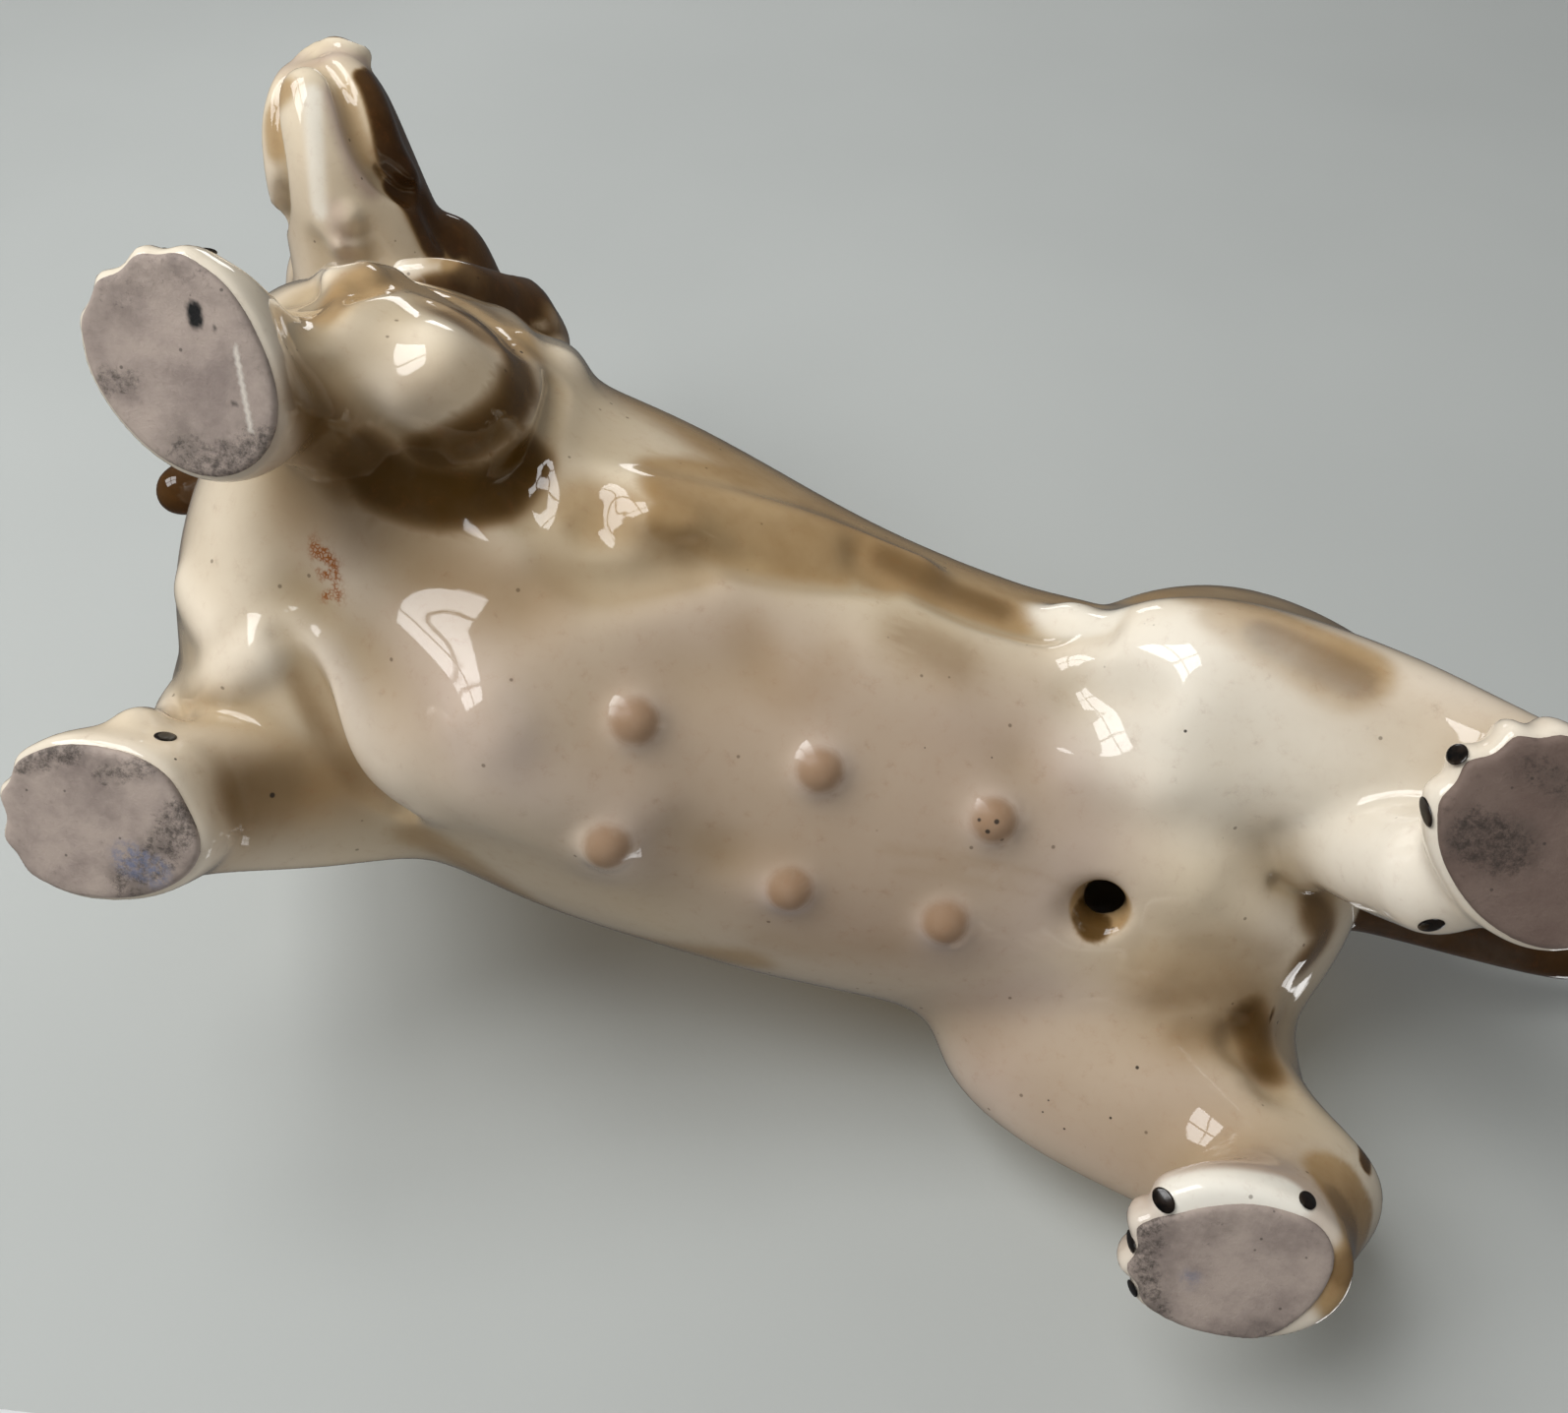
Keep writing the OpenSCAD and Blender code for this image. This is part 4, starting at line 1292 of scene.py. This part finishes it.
def enamel_material(glaze, groups):
    material, tree, shader, where = new_material("Black enamel")
    cloud = noise(tree, where, 900.0, 3.0)
    colour = mixed(tree, ramp(tree, cloud, 0.3, 0.8), glaze.enamel, glaze.enamel_thin)
    height = use_group(tree, groups["wobble"], Vector=where, Slow=400.0, Fine=1500.0)
    feed_all(
        tree, shader, Base_Color=colour, Roughness=ramp(tree, cloud, 0.3, 0.7, 0.08, 0.2),
        Normal=bumped(tree, height, 0.3, 0.0002), IOR=1.5,
    )
    return material


def eye_material(glaze, groups):
    """Painted eye: a dark pupil in a brown iris, by the distance from the middle of each eye."""
    material, tree, shader, where = new_material("Painted eye")
    reach = mask_of(tree, "reach")
    cloud = noise(tree, where, 1200.0, 3.0)
    edge = maths(tree, "MULTIPLY_ADD", maths(tree, "SUBTRACT", cloud, 0.5), 0.15, reach)
    iris = mixed(tree, ramp(tree, cloud, 0.3, 0.7), glaze.iris, glaze.brown)
    colour = mixed(tree, ramp(tree, edge, 0.42, 0.52), glaze.enamel, iris)
    colour = mixed(tree, ramp(tree, edge, 0.78, 0.9), colour, glaze.enamel_thin)
    height = use_group(tree, groups["wobble"], Vector=where, Slow=400.0, Fine=1500.0)
    feed_all(
        tree, shader, Base_Color=colour, Roughness=ramp(tree, cloud, 0.3, 0.7, 0.05, 0.1),
        Normal=bumped(tree, height, 0.15, 0.0002), IOR=1.5,
    )
    return material


# pieces
MODEL = {}

# claws seen in the photograph, by pixel, and the others by leg and angle from the toes
SEEN_CLAWS = (
    ("front_right_leg", (168, 749)),
    ("rear_left_leg", (1487, 772)),
    ("rear_left_leg", (1450, 825)),
    ("rear_left_leg", (1455, 940)),
    ("rear_right_leg", (1329, 1220)),
    ("rear_right_leg", (1190, 1228)),
    ("rear_right_leg", (1152, 1265)),
    ("rear_right_leg", (1158, 1315)),
)
HIDDEN_CLAWS = (
    ("front_left_leg", (-42, -14, 14, 42)),
    ("front_right_leg", (-42, -14, 14)),
)
# where a hidden claw starts from, as a share of its sole's size and a height, and the lowest claw
CLAW_SHARE = 0.9
CLAW_HEIGHT = 4.6
LOWEST_CLAW = 1.6
# rounds in which claws are drawn onto the glaze, and how much of the way each
CLAW_ROUNDS = 6
CLAW_DRAW = 0.8
CLAW_SEED = 7
# how much smaller and larger than its size a claw may be
CLAW_LEAST = (0.85, 0.85, 0.9)
CLAW_MOST = (1.15, 1.15, 1.1)

# way in which the left eye looks, and degrees from there to the edge of its paint
EYE_LOOK = (0.42, 0.87, 0.26)
EYE_EDGE = 62

# marks on the soles by pixel: half width and soft edge in mm, strength, pixels
SOLE_MARKS = {
    "ink": (
        (0.45, 0.35, 1.0, ((197, 314), (199, 326))),
        (0.12, 0.15, 0.8, ((218, 334),)),
        (0.14, 0.15, 0.7, ((238, 411),)),
    ),
    "scratch": (
        (0.10, 0.16, 0.5, ((239, 353), (247, 396), (255, 437))),
    ),
    # painted shade over the whole rear left sole
    "sole_shade": (
        (7.0, 3.0, 1.0, ((1530, 790), (1560, 880))),
    ),
    "grime": (
        (0.4, 2.2, 0.9, ((111, 388), (129, 388))),
        (0.7, 3.4, 0.95, ((190, 460), (225, 474), (268, 456))),
        (0.5, 4.0, 0.6, ((120, 300), (160, 276), (205, 272))),
        (0.5, 4.0, 0.5, ((266, 330), (278, 380))),
        (0.7, 1.6, 0.95, ((22, 775), (50, 768), (73, 765))),
        (0.6, 1.4, 0.85, ((105, 788), (149, 780))),
        (1.0, 2.6, 0.95, ((130, 895), (160, 870), (184, 832))),
        (1.5, 2.6, 1.0, ((1500, 850), (1530, 862))),
        (0.6, 2.2, 0.8, ((1560, 780), (1590, 800))),
        (0.3, 3.4, 0.95, ((1170, 1240), (1162, 1290), (1176, 1345))),
        (0.5, 2.8, 0.8, ((1230, 1370), (1300, 1360))),
        (0.8, 1.4, 0.6, ((1242, 1247),)),
    ),
    "blue": (
        (0.8, 1.4, 0.7, ((130, 872), (156, 886))),
        (0.4, 1.2, 0.4, ((1210, 1300),)),
    ),
}
# outline of the bare clay of a sole, by pixel, where it is narrower than the foot
SOLE_OUTLINES = {
    "rear_right_leg": (
        (1196, 1236), (1227, 1229), (1272, 1226), (1316, 1235), (1346, 1250),
        (1358, 1278), (1350, 1308), (1328, 1336), (1290, 1362), (1250, 1374),
        (1200, 1366), (1150, 1340), (1130, 1300), (1130, 1262), (1160, 1244),
    ),
}
# the field of a sole: its cell, how far it reaches, and its corners from the sole's middle
SOLE_CELL = 0.28
SOLE_REACH = 4.0
SOLE_CORNERS = ((-16, -16, -1.5), (16, 16, 4.5))
SOLE_HEIGHT = 1.2
SOLE_FILLET = 0.5
OUTLINE_FILLET = 0.6
# height at which the figure is cut for a sole's outline, and width of the dirt along it
SECTION_HEIGHT = 1.7
EDGE_WIDTH = 1.6


def on_floor(pixel):
    ray = sight(pixel)
    return CAMERA_PLACE - ray * CAMERA_PLACE[2] / ray[2]


def floor_path(pixels):
    return smooth_path([on_floor(p) for p in pixels])


def outline_field(places, pixels):
    """Distances to an outline on the floor, given by pixels, negative inside."""
    path = floor_path((*pixels, pixels[0]))
    x, y, z = places.T
    gap = distance_to_path([x, y, 0 * z], path)
    inside = np.zeros(len(places), bool)
    for a, b in zip(path, path[1:]):
        spans = (a[1] > y) != (b[1] > y)
        rise = (y - a[1]) / (b[1] - a[1]) if a[1] != b[1] else 0 * gap
        inside ^= spans & (x < a[0] + rise * (b[0] - a[0]))
    return np.where(inside, -gap, gap)


def given_clay():
    if "clay" not in MODEL:
        raise RuntimeError("Model the glazed skin first")
    return MODEL["clay"]


def given_groups():
    if "groups" not in MODEL:
        MODEL["groups"] = {"specks": specks_group(), "wobble": wobble_group()}
    return MODEL["groups"]


def finish_piece(obj, material=None, nodes=()):
    for face in obj.data.polygons:
        face.use_smooth = True
    if material is not None:
        obj.data.materials.clear()
        obj.data.materials.append(material)
    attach(obj, BODY)
    if nodes:
        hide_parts(*nodes)


def build_skin(sizes, glaze):
    clay = model_clay(sizes.cell / MM)
    MODEL["clay"] = clay
    mesh = clay.mesh("glaze_skin")
    relaxed(mesh, clay)
    skin = thinned(add_object("glaze_skin", mesh), sizes.triangles)
    places = drawn_back(drawn_back(corners_of(skin.data), clay), clay)
    MODEL["overshoot"] = measure_overshoot(places)
    set_places(skin.data, places)
    paint_skin(skin.data, places, clay)
    paint = glaze_material(glaze, given_groups(), clay)
    finish_piece(skin, paint, tuple(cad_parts))
    skin.data.normals_split_custom_set_from_vertices(clay.slope(places).tolist())
    return skin


def build_soles(sizes, glaze):
    clay = given_clay()
    material = bisque_material(glaze, given_groups())
    rim = sizes.rim / MM
    for leg in LEGS:
        low, high = (paw_frame(leg)[0] + corner for corner in SOLE_CORNERS)
        sole = Clay(low, high, SOLE_CELL, SOLE_REACH)
        across = [sole.line(axis, int) for axis in (0, 1)]
        spread = np.stack(np.meshgrid(*across, [SECTION_HEIGHT], indexing="ij"), -1).reshape(-1, 3)
        section = clay.sample(spread).reshape(*sole.shape[:2], 1).astype(np.float32)
        if leg in SOLE_OUTLINES:
            outline = outline_field(spread, SOLE_OUTLINES[leg]) - rim
            outline = outline.reshape(section.shape).astype(np.float32)
            section = smooth_max(section, outline, OUTLINE_FILLET)
        slab = np.abs(sole.line(2) - SOLE_HEIGHT / 2) - SOLE_HEIGHT / 2
        sole.form = smooth_max(section + rim, slab[None, None, :], SOLE_FILLET)
        mesh = sole.mesh("sole_" + leg)
        places = relaxed(mesh, sole)
        set_places(mesh, places)
        for name, marks in SOLE_MARKS.items():
            strokes = [(*brush, floor_path(pixels)) for *brush, pixels in marks]
            set_mask(mesh, name, brushed(places, strokes))
        edge = sole.sample(places, np.repeat(section, sole.shape[2], 2))
        set_mask(mesh, "edge", np.clip(1 + (edge + rim) / EDGE_WIDTH, 0, 1))
        finish_piece(add_object("sole_" + leg, mesh), material)


def claw_tree(material):
    """Dabs of enamel, flattened along their points' normals and drawn out towards the toes."""
    tree, given, out = new_group(
        "Claw dabs", "GeometryNodeTree",
        (("Geometry", "NodeSocketGeometry", None), ("Length", "NodeSocketFloat", 0.002),
         ("Width", "NodeSocketFloat", 0.001), ("Rise", "NodeSocketFloat", 0.0005),
         ("Seed", "NodeSocketInt", CLAW_SEED)),
        (("Geometry", "NodeSocketGeometry"),),
    )

    def add(kind, output=0, **values):
        return add_node(tree, kind, **values).outputs[output]

    def stored(name):
        return add(
            "GeometryNodeInputNamedAttribute", "Attribute", data_type="FLOAT_VECTOR", Name=name
        )

    flat = add("FunctionNodeAlignRotationToVector", axis="Z", Vector=stored("outward"))
    turn = add(
        "FunctionNodeAlignRotationToVector", axis="X", pivot_axis="Z", Rotation=flat,
        Vector=stored("toes"),
    )
    ball = add("GeometryNodeMeshUVSphere", "Mesh", Segments=28, Rings=16, Radius=1.0)
    halves = [times(tree, given[name], 0.5) for name in ("Length", "Width", "Rise")]
    size = add("ShaderNodeCombineXYZ", X=halves[0], Y=halves[1], Z=halves[2])
    dab = add("GeometryNodeTransform", Geometry=ball, Scale=size)
    vary = add(
        "FunctionNodeRandomValue", "Value", data_type="FLOAT_VECTOR", Min=CLAW_LEAST,
        Max=CLAW_MOST, Seed=given["Seed"],
    )
    claws = add(
        "GeometryNodeInstanceOnPoints", Points=given["Geometry"], Instance=dab, Rotation=turn,
        Scale=vary,
    )
    claws = add("GeometryNodeRealizeInstances", Geometry=claws)
    tree.links.new(add("GeometryNodeSetMaterial", Geometry=claws, Material=material), out[0])
    return tree


def node_result(name, mesh, tree, values):
    """The plain mesh that a node tree makes of a mesh, with its named inputs set."""
    obj = add_object(name, mesh)
    step = obj.modifiers.new(tree.name, "NODES")
    step.node_group = tree
    for item in tree.interface.items_tree:
        if item.in_out == "INPUT" and item.name in values:
            step[item.identifier] = values[item.name]
    return modified(obj)


def build_claws(sizes, glaze):
    clay = given_clay()
    spots = [(leg, clay.seen(pixel)) for leg, pixel in SEEN_CLAWS]
    for leg, angles in HIDDEN_CLAWS:
        for angle in angles:
            spots.append((leg, paw_point(leg, angle, CLAW_SHARE, CLAW_HEIGHT)))
    places = np.array([spot for _, spot in spots])
    places[:, 2] = np.maximum(places[:, 2], LOWEST_CLAW)
    for _ in range(CLAW_ROUNDS):
        places -= CLAW_DRAW * clay.sample(places)[:, None] * clay.slope(places)
    outward = clay.slope(places)
    toes = np.array([place - paw_frame(leg)[0] for (leg, _), place in zip(spots, places)])
    mesh = bpy.data.meshes.new("claw_points")
    mesh.from_pydata((places * MM).tolist(), [], [])
    for name, values in (("outward", outward), ("toes", toes)):
        stored = mesh.attributes.new(name, "FLOAT_VECTOR", "POINT")
        stored.data.foreach_set("vector", values.astype(np.float32).ravel())
    tree = claw_tree(enamel_material(glaze, given_groups()))
    claws = node_result("claws", mesh, tree, {
        "Length": sizes.claw_length, "Width": sizes.claw_width, "Rise": sizes.claw_rise,
        "Seed": CLAW_SEED,
    })
    set_places(claws.data, corners_of(claws.data))
    finish_piece(claws)


def build_eyes(sizes, glaze):
    material = eye_material(glaze, given_groups())
    for name, side in (("left_eye", 1), ("right_eye", -1)):
        shape = bmesh.new()
        bmesh.ops.create_uvsphere(shape, u_segments=48, v_segments=32, radius=1.0)
        mesh = bpy.data.meshes.new(name)
        shape.to_mesh(mesh)
        shape.free()
        ball = np.array([v.co for v in mesh.vertices])
        ahead, left, up = EYE_AT
        look = np.array(EYE_LOOK) * (1, side, 1)
        look = look / np.linalg.norm(look) @ HEAD_AXES
        away = np.degrees(np.arccos(np.clip(ball @ look, -1, 1)))
        set_mask(mesh, "reach", away / EYE_EDGE)
        places = on_head(ahead, side * left, up) * MM + ball * sizes.eye_radius
        mesh.vertices.foreach_set("co", places.ravel())
        mesh.update()
        finish_piece(add_object(name, mesh), material)


# stage
LAMPS = (
    # direction from the figure, distance in m, window's width and height in m, power of a pane in
    # W, panes across and down, and whether it shines in the glaze or only lights it
    ((-0.64, -0.53, -0.55), 0.52, (0.42, 0.34), 0.70, (2, 2), True),
    ((-0.35, -0.60, 0.72), 0.70, (0.50, 0.50), 0.80, (1, 1), False),
    ((-0.35, -0.60, 0.72), 0.70, (0.20, 0.26), 0.17, (1, 2), True),
    ((0.45, 0.70, 0.55), 0.80, (0.60, 0.60), 1.7, (1, 1), False),
    ((0.78, 0.55, 0.30), 0.80, (0.26, 0.26), 0.10, (2, 2), True),
    ((0.21, 0.49, -0.68), 0.80, (0.60, 0.60), 0.6, (1, 1), False),
)
LAMPS_ROUND = (0, 0, 0.045)
# part of a window that its pane fills
PANE = 0.9
# light from all round, from below and from above, in height from -1 to 1
SKY_RANGE = (-0.8, 0.9)
SKY_LOW = (0.62, 0.62, 0.62)
SKY_HIGH = (0.95, 0.97, 1.0)
# how much darker than the light from all round the room is that mirrors in the glaze
DIM_ROOM = 0.85
# the ground fades into the backdrop between these distances, in m
FADE = (0.25, 1.1)
TABLE_AT = (0.0, 0.0437, 0.05)
TABLE_NORMAL = (-0.20, -0.81, -0.55)
FLOOR_REACH = 6.0
TABLE_REACH = 3.0


def mixed_shader(tree, part, a, b):
    node = tree.nodes.new("ShaderNodeMixShader")
    for socket, value in zip(node.inputs, (part, a, b)):
        tree.links.new(value, socket)
    return node.outputs[0]


def only_where(tree, shown, shader):
    """Shows a shader where a value is 1 and nothing where it is 0."""
    clear = tree.nodes.new("ShaderNodeBsdfTransparent").outputs[0]
    shader = mixed_shader(tree, shown, clear, shader)
    tree.links.new(shader, tree.nodes["Material Output"].inputs["Surface"])


def ground(name, middle, normal, reach, colour, backdrop, shown):
    """A wide plane of plain board, shown to the camera alone, and only where it is told to be."""
    turn = Vector((0, 0, 1)).rotation_difference(Vector(normal)).to_matrix()
    corners = [
        Vector(middle) + turn @ Vector((x * reach, y * reach, 0))
        for x, y in ((-1, -1), (1, -1), (1, 1), (-1, 1))
    ]
    mesh = bpy.data.meshes.new(name)
    mesh.from_pydata(corners, [], [(0, 1, 2, 3)])
    plane = add_object(name, mesh)
    material, tree, shader, where = new_material(name)
    cloud = noise(tree, where, 9.0, 3.0, 0.5)
    grain = noise(tree, where, 900.0, 2.0)
    tone = mixed(tree, ramp(tree, cloud, 0.3, 0.7), colour, tuple(0.94 * c for c in colour))
    feed_all(
        tree, shader, Base_Color=tone, Roughness=0.75, Specular_IOR_Level=0.2,
        Normal=bumped(tree, grain, 0.1, 0.0002),
    )
    far = add_node(tree, "ShaderNodeVectorMath", operation="LENGTH", Vector=where)
    glow = add_node(tree, "ShaderNodeEmission", Color=backdrop)
    fade = ramp(tree, far.outputs["Value"], *FADE)
    fade = mixed_shader(tree, fade, shader.outputs[0], glow.outputs[0])
    only_where(tree, shown(tree), fade)
    mesh.materials.append(material)
    for rays in ("shadow", "diffuse", "glossy", "transmission"):
        setattr(plane, "visible_" + rays, False)


def from_above(tree):
    back = tree.nodes.new("ShaderNodeNewGeometry").outputs["Backfacing"]
    return maths(tree, "SUBTRACT", 1.0, back)


def from_below(tree):
    passed = tree.nodes.new("ShaderNodeLightPath").outputs["Transparent Depth"]
    passed = maths(tree, "GREATER_THAN", passed, 0.5)
    return times(tree, passed, from_above(tree))


def build_window(number, direction, distance, size, power, counts, shines):
    """A window of lamps, one for each pane, turned to the figure."""
    ahead = Vector(direction).normalized()
    turn = ahead.to_track_quat("Z", "Y").to_matrix()
    middle = Vector(LAMPS_ROUND) + ahead * distance
    for place in np.ndindex(*counts):
        light = bpy.data.lights.new("window_{}_{}_{}".format(number, *place), "AREA")
        light.shape = "RECTANGLE"
        light.size, light.size_y = (PANE * s / n for s, n in zip(size, counts))
        light.energy = power
        lamp = add_object(light.name, light)
        lamp.visible_glossy = shines
        off = [s * ((i + 0.5) / n - 0.5) for s, i, n in zip(size, place, counts)]
        lamp.matrix_world = Matrix.Translation(middle + turn @ Vector((*off, 0))) @ turn.to_4x4()


def build_world(stage):
    world = bpy.data.worlds.new("studio")
    world.use_nodes = True
    tree = world.node_tree
    sky = tree.nodes["Background"]
    where = tree.nodes.new("ShaderNodeTexCoord").outputs["Generated"]
    up = add_node(tree, "ShaderNodeSeparateXYZ", Vector=where).outputs[2]
    tone = mixed(tree, ramp(tree, up, *SKY_RANGE), SKY_LOW, SKY_HIGH)
    rays = tree.nodes.new("ShaderNodeLightPath").outputs
    seen = rays["Is Camera Ray"]
    strength = ramp(tree, seen, 0.0, 1.0, stage.fill, 1.0)
    dimmed = -stage.fill * DIM_ROOM
    feed_all(
        tree, sky, Color=mixed(tree, seen, tone, stage.backdrop),
        Strength=maths(tree, "MULTIPLY_ADD", rays["Is Glossy Ray"], dimmed, strength),
    )
    bpy.context.scene.world = world


def build_stage(stage):
    ground("floor", (0, 0, 0), (0, 0, 1), FLOOR_REACH, stage.floor, stage.backdrop, from_above)
    ground("table", TABLE_AT, TABLE_NORMAL, TABLE_REACH, stage.table, stage.table, from_below)
    for number, lamps in enumerate(LAMPS):
        build_window(number, *lamps)
    build_world(stage)


def build_camera():
    lens = bpy.data.cameras.new("photograph")
    lens.sensor_width = SENSOR_WIDTH
    lens.lens = SENSOR_WIDTH * FOCAL_LENGTH / PHOTO_SIZE[0]
    lens.clip_start = 0.005
    camera = add_object("photograph", lens)
    axes = np.array((CAMERA_RIGHT, -CAMERA_DOWN, -CAMERA_AHEAD)).T
    camera.matrix_world = Matrix.Translation(CAMERA_PLACE * MM) @ Matrix(axes.tolist()).to_4x4()
    scene = bpy.context.scene
    scene.camera = camera
    scene.view_settings.view_transform = "Standard"


# the add-on
def colour_prop(name, description, default):
    return FloatVectorProperty(
        name=name, description=description, default=default, subtype="COLOR", min=0.0, max=1.0
    )


def length_prop(name, description, default):
    return FloatProperty(
        name=name, description=description, default=default, subtype="DISTANCE", unit="LENGTH",
        min=0.0, precision=5,
    )


class HoundSizes(PropertyGroup):
    """Sizes of the dressed pieces."""

    cell: length_prop("Detail", "Cell of the field that the skin is modelled in", 0.0005)
    triangles: IntProperty(
        name="Triangles", description="Most triangles of the skin", default=185000, min=1000
    )
    rim: length_prop("Glaze rim", "Width of the glazed rim round a sole", 0.0004)
    claw_length: length_prop("Claw length", "Length of a painted claw", 0.0024)
    claw_width: length_prop("Claw width", "Width of a painted claw", 0.0016)
    claw_rise: length_prop("Claw thickness", "Thickness of the enamel of a claw", 0.0004)
    eye_radius: length_prop("Eye radius", "Radius of an eye", 0.0023)


class HoundGlaze(PropertyGroup):
    """Colours of glaze, clay and enamel."""

    cream: colour_prop("Cream", "Glaze over pale clay", (0.73, 0.62, 0.45))
    ivory: colour_prop("Ivory", "Glaze where it is thin", (0.78, 0.69, 0.55))
    blush: colour_prop("Blush", "Pinkish clouds in the glaze", (0.45, 0.345, 0.285))
    # white: also painted highlights on the jaw and waist, and painted light on the left thigh and
    # hock
    white: colour_prop("White", "Bare white of rims and stripes", (0.88, 0.84, 0.74))
    # pooled: glaze run into hollows, and painted shade there
    pooled_and_shade: colour_prop("Pooled", "Glaze that has run into hollows", (0.33, 0.225, 0.10))
    fawn: colour_prop("Fawn", "Strokes of fawn", (0.34, 0.215, 0.095))
    fawn_light: colour_prop("Thin fawn", "Fawn where the brush was dry", (0.46, 0.32, 0.165))
    teat: colour_prop("Teats", "Tan dabs on the teats", (0.29, 0.175, 0.095))
    # olive and umber: brown paint, and painted shade in folds and hollows
    olive_and_shade: colour_prop("Olive", "Thin shade at the edges of folds", (0.31, 0.195, 0.09))
    umber_and_shade: colour_prop("Umber", "Shade brushed into folds", (0.072, 0.033, 0.003))
    # brown: also painted shade on the left cheek
    brown: colour_prop("Brown", "Strokes of brown", (0.078, 0.035, 0.009))
    brown_dark: colour_prop("Dark brown", "Brown where it is thick", (0.028, 0.010, 0.002))
    rust: colour_prop("Rust", "Stain in the crazing", (0.30, 0.095, 0.02))
    speck: colour_prop("Specks", "Specks fired into the glaze", (0.07, 0.04, 0.02))
    bisque: colour_prop("Bisque", "Bare fired clay", (0.42, 0.345, 0.295))
    bisque_dark: colour_prop("Dark bisque", "Bare clay where it is stained", (0.22, 0.175, 0.155))
    # painted shade over the whole rear left sole
    sole_shade: colour_prop("Stained bisque", "Bare clay in the brown of a smear", (0.11, 0.065, 0.048))
    grime: colour_prop("Grime", "Dirt on the bare clay", (0.03, 0.024, 0.02))
    blue: colour_prop("Blue stain", "Stain on one sole", (0.14, 0.17, 0.27))
    enamel: colour_prop("Enamel", "Black enamel of claws and pupils", (0.003, 0.003, 0.003))
    enamel_thin: colour_prop("Thin enamel", "Enamel where it is thin", (0.02, 0.013, 0.009))
    iris: colour_prop("Iris", "Painted iris", (0.17, 0.06, 0.013))


class HoundStage(PropertyGroup):
    """Floor, table and light."""

    floor: colour_prop("Floor", "Colour of the floor", (0.52, 0.535, 0.525))
    table: colour_prop("Table", "Colour of the table in the photograph", (0.455, 0.475, 0.46))
    backdrop: colour_prop("Backdrop", "Colour behind the figure", (0.72, 0.74, 0.74))
    fill: FloatProperty(
        name="Fill", description="Strength of the light from all round", default=0.42
    )


class HoundStep(Operator):
    bl_options = {"REGISTER", "UNDO"}


class HOUND_OT_skin(HoundStep):
    """Model and paint the glazed skin over the castings"""

    bl_idname = "hound.skin"
    bl_label = "Glazed skin"

    def execute(self, context):
        build_skin(context.scene.hound_sizes, context.scene.hound_glaze)
        return {"FINISHED"}


class HOUND_OT_soles(HoundStep):
    """Make the unglazed soles"""

    bl_idname = "hound.soles"
    bl_label = "Soles"

    def execute(self, context):
        build_soles(context.scene.hound_sizes, context.scene.hound_glaze)
        return {"FINISHED"}


class HOUND_OT_claws(HoundStep):
    """Dab the claws on with enamel"""

    bl_idname = "hound.claws"
    bl_label = "Claws"

    def execute(self, context):
        build_claws(context.scene.hound_sizes, context.scene.hound_glaze)
        return {"FINISHED"}


class HOUND_OT_eyes(HoundStep):
    """Set the painted eyes"""

    bl_idname = "hound.eyes"
    bl_label = "Eyes"

    def execute(self, context):
        build_eyes(context.scene.hound_sizes, context.scene.hound_glaze)
        return {"FINISHED"}


class HOUND_OT_stage(HoundStep):
    """Set the camera, the floor, the lamps and the world"""

    bl_idname = "hound.stage"
    bl_label = "Stage"

    def execute(self, context):
        build_camera()
        build_stage(context.scene.hound_stage)
        return {"FINISHED"}


class HOUND_PT_panel(Panel):
    """Lists the steps and what they take"""

    bl_idname = "HOUND_PT_panel"
    bl_label = "Porcelain Hound"
    bl_space_type = "VIEW_3D"
    bl_region_type = "UI"
    bl_category = "Hound"

    def draw(self, context):
        layout = self.layout
        for settings in (
            context.scene.hound_sizes, context.scene.hound_glaze, context.scene.hound_stage
        ):
            box = layout.box()
            for name in settings.__annotations__:
                box.prop(settings, name)
        for step in STEPS:
            layout.operator(step.bl_idname)


STEPS = (HOUND_OT_skin, HOUND_OT_soles, HOUND_OT_claws, HOUND_OT_eyes, HOUND_OT_stage)
SETTINGS = {"hound_sizes": HoundSizes, "hound_glaze": HoundGlaze, "hound_stage": HoundStage}
CLASSES = (*SETTINGS.values(), *STEPS, HOUND_PT_panel)


def register():
    for cls in CLASSES:
        bpy.utils.register_class(cls)
    for name, cls in SETTINGS.items():
        setattr(bpy.types.Scene, name, PointerProperty(type=cls))


def unregister():
    for name in SETTINGS:
        delattr(bpy.types.Scene, name)
    for cls in reversed(CLASSES):
        bpy.utils.unregister_class(cls)


def main():
    register()
    bpy.ops.hound.skin()
    bpy.ops.hound.soles()
    bpy.ops.hound.claws()
    bpy.ops.hound.eyes()
    bpy.ops.hound.stage()


if __name__ == "__main__":
    main()
